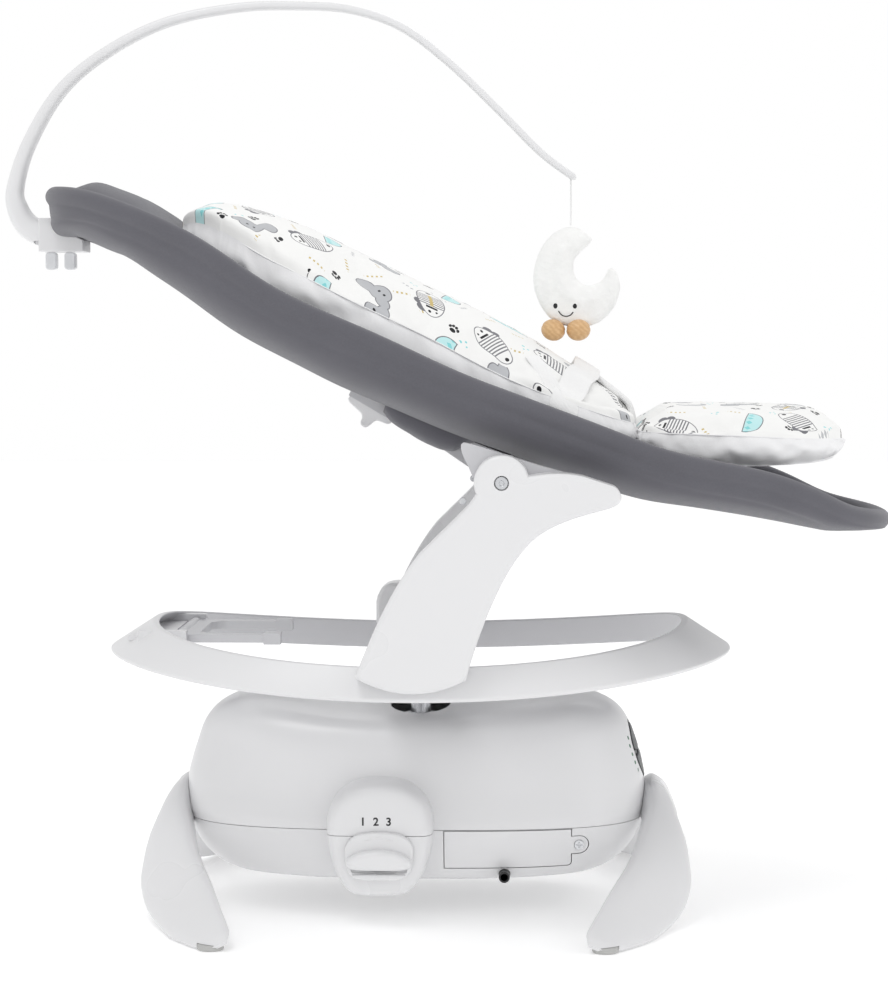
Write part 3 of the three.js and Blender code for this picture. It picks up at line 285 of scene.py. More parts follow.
class Motifs:
    """Scattered small prints: each cell of a Voronoi pattern holds one motif, turned at random."""

    def __init__(self, n, coords, cell_size, shift, randomness):
        self.n = n
        moved = n.put("ShaderNodeVectorMath", operation="ADD")
        n.link(coords, moved.inputs[0])
        moved.inputs[1].default_value = (shift, shift * 0.7, 0)
        cell = n.put("ShaderNodeTexVoronoi", voronoi_dimensions="2D")
        n.link(moved.outputs[0], cell.inputs["Vector"])
        cell.inputs["Scale"].default_value = 1 / cell_size
        cell.inputs["Randomness"].default_value = randomness
        offset = n.put("ShaderNodeVectorMath", operation="SUBTRACT")
        n.link(moved.outputs[0], offset.inputs[0])
        n.link(cell.outputs["Position"], offset.inputs[1])
        pick = n.put("ShaderNodeSeparateColor")
        n.link(cell.outputs["Color"], pick.inputs[0])
        self.kind = pick.outputs[0]
        turn = n.put("ShaderNodeVectorRotate", rotation_type="Z_AXIS")
        n.link(offset.outputs[0], turn.inputs["Vector"])
        n.link(n.math("MULTIPLY", pick.outputs[1], 6.3), turn.inputs["Angle"])
        local = n.put("ShaderNodeSeparateXYZ")
        n.link(turn.outputs[0], local.inputs[0])
        self.x, self.y = (n.math("MULTIPLY", local.outputs[i], 1000.0) for i in (0, 1))

    def oval(self, cx, cy, rx, ry=None):
        """1 inside an ellipse, in millimetres round the cell's middle."""
        n, ry = self.n, ry or rx
        dx = n.math("DIVIDE", n.math("SUBTRACT", self.x, cx), rx)
        dy = n.math("DIVIDE", n.math("SUBTRACT", self.y, cy), ry)
        return n.math("LESS_THAN", n.math("ADD", n.math("MULTIPLY", dx, dx), n.math("MULTIPLY", dy, dy)), 1.0)

    def band(self, low_x, high_x, low_y, high_y):
        n = self.n
        inside = [n.math("GREATER_THAN", self.x, low_x), n.math("LESS_THAN", self.x, high_x),
                  n.math("GREATER_THAN", self.y, low_y), n.math("LESS_THAN", self.y, high_y)]
        return self.all_of(*inside)

    def stripes(self, pitch, share):
        phase = self.n.math("MULTIPLY", self.x, 2 * math.pi / pitch)
        return self.n.math("GREATER_THAN", self.n.math("SINE", phase), 1 - 2 * share)

    def rhombs(self, pitch, half):
        n = self.n
        along = n.math("MODULO", n.math("ADD", self.x, 20 * pitch), pitch)
        step = n.math("ABSOLUTE", n.math("SUBTRACT", along, pitch / 2))
        across = n.math("MULTIPLY", n.math("ABSOLUTE", self.y), 0.8)
        return n.math("LESS_THAN", n.math("ADD", step, across), half)

    def any_of(self, *shapes):
        result = shapes[0]
        for other in shapes[1:]:
            result = self.n.math("MAXIMUM", result, other)
        return result

    def all_of(self, *shapes):
        result = shapes[0]
        for other in shapes[1:]:
            result = self.n.math("MULTIPLY", result, other)
        return result

    def without(self, shape, hole):
        return self.all_of(shape, self.n.math("SUBTRACT", 1.0, hole))

    def when(self, shape, low, high):
        """The shape, in the cells whose random number lies between low and high."""
        above = self.n.math("GREATER_THAN", self.kind, low)
        return self.all_of(shape, above, self.n.math("LESS_THAN", self.kind, high))


INK_BLACK, INK_GREY, INK_LINE = (0.012, 0.012, 0.015), (0.48, 0.49, 0.51), (0.18, 0.18, 0.20)
INK_TEAL, INK_TEAL_PALE, INK_GOLD = (0.25, 0.66, 0.68), (0.52, 0.80, 0.81), (0.60, 0.47, 0.19)


def printed_fabric():
    """White jersey with a scattered print of dots, half moons, clouds, striped eggs and gold rows."""
    n = Nodes("print_fabric")
    coords = n.put("ShaderNodeTexCoord").outputs["UV"]
    big = Motifs(n, coords, 0.052, 0.013, 0.5)
    small = Motifs(n, coords, 0.024, 0.377, 0.7)
    egg, core = big.oval(0, 0, 19, 12), big.oval(0, 0, 18.2, 11.2)
    ear = big.any_of(big.oval(-13, 9, 4.2), big.oval(-7, 11.5, 3.6))
    dots = big.any_of(big.oval(-14, 2, 1.3), big.oval(-13, -4, 1.0), big.oval(15, 0, 1.6, 2.2))
    cloud = big.any_of(big.oval(-9, -1, 9, 7.5), big.oval(4, 3, 11, 9), big.oval(14, -3, 7, 5.5))
    cloud_core = big.any_of(big.oval(-9, -1, 8.2, 6.7), big.oval(4, 3, 10.2, 8.2), big.oval(14, -3, 6.2, 4.7))
    hill = big.all_of(big.oval(0, -4, 17, 15), big.band(-20, 20, -4, 20))
    hill_core = big.all_of(big.oval(0, -4, 16.2, 14.2), big.band(-20, 20, -3.2, 20))
    crescent = big.without(big.oval(0, 0, 13), big.oval(5, 2, 11))
    cluster = small.any_of(
        small.oval(0, -1.5, 2.5, 2.0), small.oval(-3.3, 1.5, 1.25, 1.6), small.oval(-1.2, 3.2, 1.2, 1.6),
        small.oval(1.4, 3.2, 1.2, 1.6), small.oval(3.5, 1.4, 1.2, 1.6))
    dashes = small.all_of(small.band(-7.5, 7.5, -1.2, 1.2), small.stripes(3.6, 0.42))
    row = small.all_of(small.rhombs(4.4, 1.7), small.band(-6.6, 6.6, -3, 3))
    specks = small.any_of(small.oval(-3, 0, 1.3), small.oval(1.5, 2.2, 1.0), small.oval(2.4, -2.2, 0.8))
    clear = n.math("SUBTRACT", 1.0, big.oval(0, 0, 21, 15))
    layers = [
        (small.all_of(small.when(cluster, 0.0, 0.34), clear), INK_BLACK),
        (small.all_of(small.when(dashes, 0.34, 0.56), clear), INK_GOLD),
        (small.all_of(small.when(row, 0.56, 0.76), clear), INK_GREY),
        (small.all_of(small.when(specks, 0.76, 0.92), clear), INK_TEAL),
        (big.when(big.any_of(egg, ear), 0.0, 0.34), INK_LINE),
        (big.when(core, 0.0, 0.34), (0.88, 0.88, 0.87)),
        (big.when(big.all_of(core, big.band(-8, 9, -20, 20), big.stripes(2.6, 0.36)), 0.0, 0.34), INK_LINE),
        (big.when(big.any_of(dots, big.band(-10.5, -8.6, -5, 5)), 0.0, 0.34), INK_BLACK),
        (big.when(big.band(-8, 9, -1.5, 1.5), 0.0, 0.17), INK_GOLD),
        (big.when(cloud, 0.34, 0.56), INK_LINE),
        (big.when(cloud_core, 0.34, 0.56), INK_GREY),
        (big.when(big.any_of(big.oval(2, 4, 1.2), big.oval(8, 4, 1.2)), 0.34, 0.56), INK_BLACK),
        (big.when(hill, 0.56, 0.80), INK_LINE),
        (big.when(hill_core, 0.56, 0.80), INK_TEAL_PALE),
        (big.when(big.all_of(hill_core, big.rhombs(6.5, 2.2)), 0.56, 0.80), INK_TEAL),
        (big.when(crescent, 0.80, 1.01), INK_GREY),
        (big.when(big.oval(5, 2, 1.4), 0.80, 1.01), INK_BLACK),
    ]
    base = (0.88, 0.88, 0.87)
    for shape, ink in layers:
        base = n.mix(shape, base, ink)
    yarn = n.noise(n.place(), 1500, 3)
    knit = n.put("ShaderNodeTexWave", bands_direction="X")
    n.link(coords, knit.inputs["Vector"])
    knit.inputs["Scale"].default_value = 420
    surface = n.math("ADD", n.math("MULTIPLY", knit.outputs["Fac"], 0.4), yarn)
    return n.finish(base, 0.88, n.bump(surface, 0.25, 0.0004), Sheen_Weight=0.2, Sheen_Roughness=0.5,
                    Specular_IOR_Level=0.25)


# ---- mesh helpers -----------------------------------------------------------------------------

def mesh_object(name, points, faces, scale=1.0):
    mesh = bpy.data.meshes.new(name)
    mesh.from_pydata([tuple(c * scale for c in p) for p in points], [], faces)
    mesh.update()
    piece = bpy.data.objects.new(name, mesh)
    scene.collection.objects.link(piece)
    return piece


def dress(piece, body, material, *nodes, slot=None, angle=40):
    """Smooth shading, material, the body it rides on and the CAD nodes it stands for."""
    mesh = piece.data
    if not mesh.materials:
        mesh.materials.append(materials[material])
    mesh.polygons.foreach_set("use_smooth", [True] * len(mesh.polygons))
    mesh.set_sharp_from_angle(angle=math.radians(angle))
    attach(piece, body)
    if nodes:
        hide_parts(*nodes)
    return piece


def face_out(piece):
    bm = bmesh.new()
    bm.from_mesh(piece.data)
    bmesh.ops.recalc_face_normals(bm, faces=bm.faces)
    bm.to_mesh(piece.data)
    bm.free()
    return piece


def loft(name, rings, joined=False, capped=True):
    """Skin of quads over rings of equally many points, in millimetres."""
    n = len(rings[0])
    points = [p for ring in rings for p in ring]
    faces = []
    for k in range(len(rings) if joined else len(rings) - 1):
        a, b = k * n, ((k + 1) % len(rings)) * n
        faces += [(a + i, a + (i + 1) % n, b + (i + 1) % n, b + i) for i in range(n)]
    if capped and not joined:
        for start in (0, (len(rings) - 1) * n):
            faces += [tuple(start + i for i in triangle) for triangle in fill(points[start:start + n])]
    return face_out(mesh_object(name, points, faces, MM))


def fill(ring):
    """Triangles over a ring of points, as seen along its own normal."""
    middle = sum((Vector(p) for p in ring), Vector()) / len(ring)
    normal = Vector()
    for a, b in zip(ring, ring[1:] + ring[:1]):
        normal += (Vector(a) - middle).cross(Vector(b) - middle)
    turn = normal.to_track_quat("Z", "Y").inverted()
    flat = [(turn @ (Vector(p) - middle)).to_2d() for p in ring]
    _, _, triangles, came_from, _, _ = geometry.delaunay_2d_cdt(flat, [], [list(range(len(ring)))], 1, 1e-6)
    known = [triangle for triangle in triangles if all(came_from[i] for i in triangle)]
    return [tuple(came_from[i][0] for i in triangle) for triangle in known]


def smooth_line(table):
    """A smooth curve through [x, value] pairs, without overshoot."""
    xs, ys = zip(*table)
    slopes = [(ys[i + 1] - ys[i]) / (xs[i + 1] - xs[i]) for i in range(len(xs) - 1)]
    bends = [slopes[0]]
    for a, b in zip(slopes, slopes[1:]):
        bends.append(0.0 if a * b <= 0 else 2 * a * b / (a + b))
    bends.append(slopes[-1])

    def value(x):
        x = min(max(x, xs[0]), xs[-1])
        i = next((k for k in range(len(xs) - 2) if x <= xs[k + 1]), len(xs) - 2)
        h = xs[i + 1] - xs[i]
        t = (x - xs[i]) / h
        return ((2 * t ** 3 - 3 * t ** 2 + 1) * ys[i] + (t ** 3 - 2 * t ** 2 + t) * h * bends[i]
                + (3 * t ** 2 - 2 * t ** 3) * ys[i + 1] + (t ** 3 - t ** 2) * h * bends[i + 1])
    return value


def signed_power(value, power):
    return math.copysign(abs(value) ** power, value)


def apply_modifiers(piece):
    graph = bpy.context.evaluated_depsgraph_get()
    mesh = bpy.data.meshes.new_from_object(piece.evaluated_get(graph))
    piece.modifiers.clear()
    piece.data = mesh
    return piece


def cut(piece, cutters, operation="DIFFERENCE"):
    """Booleans applied at once; the cutters are deleted."""
    for cutter in cutters:
        modifier = piece.modifiers.new("cut", "BOOLEAN")
        modifier.operation, modifier.solver, modifier.object = operation, "EXACT", cutter
    apply_modifiers(piece)
    for cutter in cutters:
        bpy.data.objects.remove(cutter)
    return piece


def refined(name, body, material, node, bevel=0.4, angle=32, slot=None):
    """A CAD node's own mesh with its split corners joined, small rounded edges and smooth shading."""
    piece = bpy.data.objects.new(name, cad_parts[node].data.copy())
    scene.collection.objects.link(piece)
    piece.data.materials.clear()
    bm = bmesh.new()
    bm.from_mesh(piece.data)
    bmesh.ops.remove_doubles(bm, verts=bm.verts, dist=5e-6)
    bmesh.ops.dissolve_limit(bm, angle_limit=math.radians(0.6), verts=bm.verts, edges=bm.edges)
    bm.to_mesh(piece.data)
    bm.free()
    if bevel:
        edge = piece.modifiers.new("edge", "BEVEL")
        edge.width, edge.segments, edge.limit_method = bevel * MM, 2, "ANGLE"
        edge.angle_limit = math.radians(angle)
        edge.harden_normals = False
    return dress(piece, body, material, node, slot=slot, angle=angle)


# ---- outlines and swept shapes ----------------------------------------------------------------

def curve_through(points, per_span=8, closed=True):
    """Catmull-Rom points through 2-D or 3-D points."""
    n = len(points)
    result = []
    for i in range(n if closed else n - 1):
        picks = [points[(i + k) % n] if closed else points[min(max(i + k, 0), n - 1)] for k in (-1, 0, 1, 2)]
        for step in range(per_span):
            t = step / per_span
            result.append(tuple(0.5 * (2 * b + (c - a) * t + (2 * a - 5 * b + 4 * c - d) * t * t
                                       + (3 * b - a - 3 * c + d) * t ** 3) for a, b, c, d in zip(*picks)))
    if not closed:
        result.append(tuple(points[-1]))
    return result


def bezier(*p, count=16):
    """Points of a quadratic or cubic curve, without its end."""
    weights = {3: lambda t: ((1 - t) ** 2, 2 * t * (1 - t), t * t),
               4: lambda t: ((1 - t) ** 3, 3 * t * (1 - t) ** 2, 3 * t * t * (1 - t), t ** 3)}[len(p)]

    def point(t):
        return tuple(sum(w * q[axis] for w, q in zip(weights(t), p)) for axis in (0, 1))
    return [point(i / count) for i in range(count)]


def rounded(points, radius, steps=5, closed=True):
    """A polygon with its corners turned into arcs."""
    result = []
    n = len(points)
    for i, corner in enumerate(points):
        if not closed and i in (0, n - 1):
            result.append(tuple(corner))
            continue
        here, before, after = Vector(corner), Vector(points[i - 1]), Vector(points[(i + 1) % n])
        r = min(radius, (before - here).length * 0.45, (after - here).length * 0.45)
        a, b = here + (before - here).normalized() * r, here + (after - here).normalized() * r
        for k in range(steps + 1):
            t = k / steps
            result.append(tuple((1 - t) ** 2 * a + 2 * t * (1 - t) * here + t * t * b))
    return result


def area_of(outline):
    return sum(a[0] * b[1] - b[0] * a[1] for a, b in zip(outline, outline[1:] + outline[:1])) / 2


def inset(outline, amount):
    """A closed outline moved inward; it runs anticlockwise. Points that would cross at a tight corner
    are spread along the chord between their good neighbours."""
    points = np.array(outline, float)
    chord = np.roll(points, -1, 0) - np.roll(points, 1, 0)
    chord /= np.maximum(np.linalg.norm(chord, axis=1), 1e-9)[:, None]
    moved = points + np.stack([-chord[:, 1], chord[:, 0]], 1) * amount
    if amount < 0.05:
        return [tuple(p) for p in moved]
    start, run = points, np.roll(points, -1, 0) - points
    along_run = np.einsum("ijk,jk->ij", moved[:, None] - start[None], run)
    along_run /= np.maximum((run ** 2).sum(1), 1e-12)
    nearest = start[None] + np.clip(along_run, 0, 1)[..., None] * run[None]
    good = np.linalg.norm(moved[:, None] - nearest, axis=2).min(1) > 0.96 * amount
    if good.all() or not good.any():
        return [tuple(p) for p in moved]
    kept = np.flatnonzero(good)
    n = len(points)
    ring = np.concatenate([kept - n, kept, kept + n])
    at_all = np.arange(n)
    fixed = [np.interp(at_all, ring, np.tile(moved[kept, axis], 3)) for axis in (0, 1)]
    return [tuple(p) for p in np.stack(fixed, 1)]


def soft_plate(name, outline, y0, y1, near=1.0, far=1.0, steps=4):
    """An outline in X and Z made thick along Y, with round edges on both faces."""
    outline = [p for i, p in enumerate(outline) if math.dist(p, outline[i - 1]) > 0.02]
    if area_of(outline) < 0:
        outline = outline[::-1]
    rings = []
    for k in range(steps + 1):
        a = math.pi / 2 * k / steps
        rings.append((near * (1 - math.sin(a)), y0 + near * (1 - math.cos(a))))
    for k in range(steps, -1, -1):
        a = math.pi / 2 * k / steps
        rings.append((far * (1 - math.sin(a)), y1 - far * (1 - math.cos(a))))
    if near > 0.3:
        rings.insert(0, (near + 0.5, y0))
    if far > 0.3:
        rings.append((far + 0.5, y1))
    return loft(name, [[(x, y, z) for x, z in inset(outline, amount)] for amount, y in rings])


def swept(name, path, section, flat=(0, 1, 0), joined=False, taper=None):
    """A section swept along 3-D points; flat is the direction that the section's first axis keeps to."""
    points = [Vector(p) for p in path]
    n = len(points)
    rings = []
    for i, here in enumerate(points):
        ahead = points[(i + 1) % n] if joined else points[min(i + 1, n - 1)]
        behind = points[i - 1] if joined else points[max(i - 1, 0)]
        tangent = (ahead - behind).normalized()
        side = Vector(flat) - tangent * tangent.dot(Vector(flat))
        side.normalize()
        up = tangent.cross(side)
        wide, thick = taper(i / (n - 1)) if taper else (1, 1)
        rings.append([tuple(here + side * u * wide + up * v * thick) for u, v in section])
    return loft(name, rings, joined=joined)


def squarish(half_wide, half_thick, power=0.6, count=24):
    """A rounded-rectangle section."""
    turns = [2 * math.pi * (k + 0.5) / count for k in range(count)]
    return [(half_wide * signed_power(math.sin(a), power), half_thick * signed_power(math.cos(a), power))
            for a in turns]


def turned(name, profile, axis_x, axis_y, count=48):
    """A profile of [radius, z] turned about an upright axis."""
    rings = [[(x, y, z) for x, y in disc_outline(axis_x, axis_y, r, count)] for r, z in profile]
    return loft(name, rings)


def prism(name, outline, y0, y1):
    return loft(name, [[(x, y, z) for x, z in outline] for y in (y0, y1)])


def block(name, x0, x1, y0, y1, z0, z1):
    return prism(name, [(x0, z0), (x1, z0), (x1, z1), (x0, z1)], y0, y1)


def disc_outline(x, z, r, count=40):
    turns = [2 * math.pi * k / count for k in range(count)]
    return [(x + r * math.cos(a), z + r * math.sin(a)) for a in turns]


# ---- base body --------------------------------------------------------------------------------

BODY_X, BODY_LONG, BODY_TOP, BODY_BOTTOM, PARTING, WALL = -24.5, 205.5, 187, 32, 80, 3
BODY_DIP, SQUARE = 14, 2.9
BODY_PLAN = [
    (32, 150, 92), (35, 168, 103), (46, 186, 110), (62, 198, 116), (80, 204, 120),
    (92, 205.5, 118), (111, 205.5, 114), (130, 201.5, 111), (146, 196.5, 108), (160, 191.5, 104),
    (171, 184, 99), (179, 173, 92), (184.5, 157, 82), (187, 138, 68),
]
body_long = smooth_line([(z, a) for z, a, _ in BODY_PLAN])
body_wide = smooth_line([(z, b) for z, _, b in BODY_PLAN])
SHAFT_X = -21


def body_point(t, z, grow=0.0, shrink=1.0, lift=0.0):
    c, s = math.cos(t), math.sin(t)
    x = (body_long(z) + grow) * shrink * signed_power(c, 2 / SQUARE)
    flare = 5 * (x / BODY_LONG) ** 2 * max(0, 1 - abs(z - 88) / 20)
    y = (body_wide(z) + flare + grow) * shrink * signed_power(s, 2 / SQUARE)
    sink = BODY_DIP * max(0, (z - 130) / (BODY_TOP - 130)) ** 1.5 * max(0, 1 - (x / 138) ** 2)
    return (BODY_X + x, y, z - sink + lift)


def body_skin(name, grow, low, high, sides=144, step=3.0):
    count = max(2, round((high - low) / step))
    heights = [low + (high - low) * k / count for k in range(count + 1)]
    turns = [2 * math.pi * k / sides for k in range(sides)]
    rings = [[body_point(t, z, grow) for t in turns] for z in heights]
    if high > BODY_TOP - 10:
        for k in range(1, 8):
            shrink = 1 - 0.12 * k
            rings.append([body_point(t, high, grow, shrink, 1.1 * (1 - shrink ** 2)) for t in turns])
    return loft(name, rings)


BULGE_PROFILE = [
    (-97, 84), (-95, 99), (-87, 113), (-72, 122.5), (-51, 125.5), (-30, 122.5), (-15, 113),
    (-7, 99), (-5, 84), (-7, 66), (-13, 46), (-23, 31), (-36, 26), (-66, 26), (-79, 31), (-89, 46),
    (-95, 66),
]
BULGE_MIDDLE = (-51, 74)
BULGE_LEVELS = [
    (-90, 1), (-110, 1), (-124, 1), (-132, 0.995), (-138, 0.985), (-142.5, 0.965), (-146, 0.93),
    (-148.4, 0.885), (-149.8, 0.83), (-150.4, 0.76), (-150.6, 0.6), (-150.7, 0.4), (-150.75, 0.2),
]


def bulge(name):
    outline = curve_through(BULGE_PROFILE, 5)
    cx, cz = BULGE_MIDDLE
    return loft(name, [[(cx + (x - cx) * s, y, cz + (z - cz) * s) for x, z in outline]
                       for y, s in BULGE_LEVELS])


TAB = (121, 64)
KNOB = (-50.5, 61)


def door_outline(grow):
    """The battery door: a rounded rectangle with a screw tab on its foot side."""
    tab = [(TAB[0] + (8 + grow) * math.cos(a), TAB[1] + (8 + grow) * math.sin(a))
           for a in [math.pi * (k / 12 - 0.5) for k in range(13)]]
    right = 114 + grow
    low = rounded([
        (4 - grow, 45 - grow), (right, 45 - grow), (right, TAB[1] - 8 - grow),
    ], 3.5 + grow, 4, False)
    return low + tab + [(right, TAB[1] + 8 + grow), (right, 78.6 + grow), (4 - grow, 78.6 + grow)]


def keypad_prism(name, r0, r1, a0, a1, x0=140, x1=200, count=40):
    """A disc or ring sector facing +X, round the keypad's middle."""
    cy, cz = -14, 136
    turns = [a0 + (a1 - a0) * k / count for k in range(count + 1)]
    whole = a1 - a0 > 6.2
    outline = [(cy + r1 * math.cos(a), cz + r1 * math.sin(a)) for a in (turns[:-1] if whole else turns)]
    if r0 > 0 and not whole:
        outline += [(cy + r0 * math.cos(a), cz + r0 * math.sin(a)) for a in reversed(turns)]
    return loft(name, [[(x, y, z) for y, z in outline] for x in (x0, x1)])


def led_place(i):
    a = math.pi * (0.86 + 0.07 * i)
    return -14 + 33.5 * math.cos(a), 136 + 33.5 * math.sin(a)


def make_base():
    # upper housing with the shaft's opening, the keypad's recess and five light pegs' holes
    upper = body_skin("upper_housing", 0, PARTING, BODY_TOP)
    upper_bulge = cut(bulge("bulge_top"), [block("low_half", -200, 200, -200, 0, 0, PARTING)])
    room = body_skin("room", -WALL, BODY_BOTTOM + WALL, BODY_TOP - WALL, 72, 8)
    slot = loft("slot", [[(SHAFT_X + 27 * math.cos(a), 58 * math.sin(a), z) for a in
                          [2 * math.pi * k / 64 for k in range(64)]] for z in (150, 230)])
    cut(upper, [upper_bulge], "UNION")
    cut(upper, [room, slot, keypad_prism("keypad_room", 0, 27, 0, 2 * math.pi)])
    pegs = []
    for i in range(5):
        y, z = led_place(i)
        ring = disc_outline(y, z, 1.9, 16)
        pegs.append(loft("peg", [[(x, a, b) for a, b in ring] for x in (150, 200)]))
    cut(upper, pegs)
    soften(upper, 0.5)
    dress(upper, "base", "white", "base_upper_housing", slot="white_plastic", angle=34)

    lower = body_skin("lower_housing", 0, BODY_BOTTOM, PARTING - 0.5)
    lower_bulge = cut(bulge("bulge_low"), [block("top_half", -200, 200, -200, 0, PARTING - 0.5, 200)])
    cut(lower, [lower_bulge], "UNION")
    room = body_skin("room", -WALL, BODY_BOTTOM + WALL, PARTING + 5, 72, 8)
    slits = [block("slit", 96 + 5 * k - 1.5, 96 + 5 * k + 1.5, 20, 60, 20, 50) for k in (-3, -1, 1, 3)]
    cut(lower, [
        room,
        prism("door_gap", door_outline(0.7), -160, -60),
        prism("jack_gap", disc_outline(56, 38.5, 5.2), -160, -80),
        prism("knob_gap", disc_outline(*KNOB, 9), -170, -100),
    ] + slits)
    soften(lower, 0.5)
    dress(lower, "base", "white", "base_lower_housing", slot="white_plastic", angle=34)

    door = body_skin("door", -0.25, 36, PARTING - 0.6, 144, 3)
    cut(door, [body_skin("door_room", -2.6, 30, 90, 72, 8)])
    cut(door, [prism("door_shape", door_outline(0), -160, -60)], "INTERSECT")
    cut(door, [
        prism("screw_seat", disc_outline(*TAB, 4.6, 32), -160, -96.6),
        prism("screw_hole", disc_outline(*TAB, 1.8, 16), -160, -60),
    ])
    soften(door, 0.4)
    dress(door, "hatch", "white", "battery_door", slot="white_plastic", angle=34)

    for digit, x in (("1", -64.5), ("2", -53.3), ("3", -42.4)):
        write_digit(digit, x, 92)


def soften(piece, width, angle=38):
    """Small round edges where two faces meet sharply."""
    bm = bmesh.new()
    bm.from_mesh(piece.data)
    bmesh.ops.remove_doubles(bm, verts=bm.verts, dist=2e-5)
    bmesh.ops.dissolve_degenerate(bm, edges=bm.edges, dist=1e-5)
    bm.to_mesh(piece.data)
    bm.free()
    edge = piece.modifiers.new("edge", "BEVEL")
    edge.width, edge.segments, edge.limit_method = width * MM, 2, "ANGLE"
    edge.angle_limit = math.radians(angle)
    edge.use_clamp_overlap = True


def write_digit(digit, x, z):
    """A printed digit, 7 mm high, on the selector's housing."""
    data = bpy.data.curves.new("digit_" + digit, "FONT")
    data.body, data.size, data.extrude = digit, 9.6 * MM, 0.04 * MM
    data.align_x, data.align_y, data.offset = "CENTER", "CENTER", 0.25 * MM
    piece = bpy.data.objects.new("digit_" + digit, data)
    scene.collection.objects.link(piece)
    upright = Matrix.Rotation(math.pi / 2, 4, "X")
    piece.matrix_world = Matrix.Translation(Vector((x, -150.75, z)) * MM) @ upright
    bpy.context.view_layer.update()
    mesh = bpy.data.meshes.new_from_object(piece.evaluated_get(bpy.context.evaluated_depsgraph_get()))
    mesh.transform(piece.matrix_world)
    bpy.data.objects.remove(piece)
    flat = bpy.data.objects.new("digit_" + digit, mesh)
    mesh.materials.clear()
    scene.collection.objects.link(flat)
    dress(flat, "base", "digit", slot="black_plastic")


def make_knob():
    face = curve_through([
        (-29, 2), (-28, 12), (-20, 20), (0, 23), (20, 20), (28, 12), (29, 2), (26, -12), (14, -18),
        (-14, -18), (-26, -12),
    ], 8)
    grip = curve_through([(-28, -1), (-18, 6), (0, 9), (18, 6), (28, -1), (22, -8), (0, -9), (-22, -8)], 8)
    lip = curve_through([(-22, -13), (0, -12.5), (22, -13), (16, -17), (0, -17.5), (-16, -17)], 8)

    def at_knob(outline):
        return [(x + KNOB[0], z + KNOB[1]) for x, z in outline]
    knob = soft_plate("knob", at_knob(face), -157, -151.2, 2.4, 0.5, 5)
    cut(knob, [soft_plate("grip", at_knob(grip), -167, -154, 5.5, 0.1, 7),
               soft_plate("lip", at_knob(lip), -161.5, -154, 1.6, 0.1, 4)], "UNION")
    slot = rounded([(-74, 49.4), (-50.5, 48.6), (-27, 49.4), (-26, 52.6), (-50.5, 51.6), (-75, 52.6)], 1, 3)
    cut(knob, [soft_plate("finger_slot", slot, -170, -154.6, 0.1, 1.2, 3)])
    stem = prism("stem", disc_outline(*KNOB, 8), -152, -128)
    cut(knob, [stem], "UNION")
    soften(knob, 0.5)
    dress(knob, "selector", "white", "selector_knob", slot="white_plastic", angle=34)
    for name, outline in (
        ("arrow_left", [(-63, 77.2), (-56.5, 79.4), (-57.2, 77.4)]),
        ("arrow_mid", [(-54, 78.6), (-50.5, 81.4), (-47, 78.6)]),
        ("arrow_right", [(-38, 77.2), (-44.5, 79.4), (-43.8, 77.4)]),
    ):
        arrow = soft_plate(name, rounded(outline, 0.6, 2), -157.5, -156, 0.3, 0.1, 2)
        dress(arrow, "selector", "white", slot="white_plastic")


PAD_PROFILE = [(9.2, 0), (10.4, 0.3), (11, 1.2), (11, 4.4), (10.6, 5), (0.5, 5)]


def make_legs():
    stations = [
        (0, (204, 111), (217, 101), 34), (20, (204, 110), (221, 98), 33), (40, (204.5, 105), (226, 91), 30),
        (60, (203.5, 96), (230, 82), 27), (85, (198, 82), (237, 61), 24), (110, (190.5, 65), (239, 38), 21),
        (130, (183, 54), (234, 22), 18), (150, (174.5, 45), (225, 12.5), 15), (175, (166, 37), (213, 8), 12),
        (200, (158.5, 30), (202, 5.5), 10), (222, (151.5, 23), (187, 4), 9), (238, (147, 16), (174, 3), 7),
        (247, (147, 9), (160, 3.2), 3.5),
    ]
    lines = [smooth_line([(s[0], pick(s)) for s in stations]) for pick in (
        lambda s: s[1][0], lambda s: s[1][1], lambda s: s[2][0], lambda s: s[2][1], lambda s: s[3])]
    ys = [247 * math.sin(math.pi / 2 * k / 44) for k in range(-44, 45)]
    for side, stretch, end in ((-1, 1.0, "head"), (1, 1.025, "foot")):
        middles, halves = [], []
        for y in ys:
            ux, uz, lx, lz, thick = (line(abs(y)) for line in lines)
            upper, lower = Vector((side * ux * stretch, y, uz)), Vector((side * lx * stretch, y, lz))
            middles.append((upper + lower) / 2)
            halves.append((lower - upper, thick))
        rings = []
        for i, (across, thick) in enumerate(halves):
            tangent = (middles[min(i + 1, len(ys) - 1)] - middles[max(i - 1, 0)]).normalized()
            half = across.length / 2
            across = across.normalized()
            inward = tangent.cross(across).normalized()
            if inward.z > 0:
                inward.negate()
            ring = []
            for k in range(40):
                a = 2 * math.pi * k / 40
                wide = across * signed_power(math.cos(a), 0.62) * half
                deep = inward * (thick * 0.42 + signed_power(math.sin(a), 0.62) * thick / 2)
                ring.append(tuple(Vector((BODY_X, 0, 0)) + middles[i] + wide + deep))
            rings.append(ring)
        leg = loft("leg_" + end, rings)
        cut(leg, [
            body_skin("body_room", 0.3, BODY_BOTTOM - 6, BODY_TOP, 96, 6),
            block("floor_room", -400, 400, -300, 300, -60, 1.5),
        ])
        pads = []
        for y in (-236, 236):
            x = BODY_X + side * 161 * stretch
            pads.append(turned("pad_room", [(11.3, -5), (11.3, 5.3)], x, y))
        cut(leg, pads)
        soften(leg, 0.6)
        dress(leg, "base", "white", "leg_arch_" + end, slot="white_plastic", angle=34)
        for y, place in ((-236, "near"), (236, "far")):
            x = BODY_X + side * 161 * stretch
            pad = turned("pad_%s_%s" % (end, place), PAD_PROFILE, x, y)
            dress(pad, "base", "rubber", "foot_pad_%s_%s" % (end, place), slot="pad_rubber")


# ---- rocker unit ------------------------------------------------------------------------------

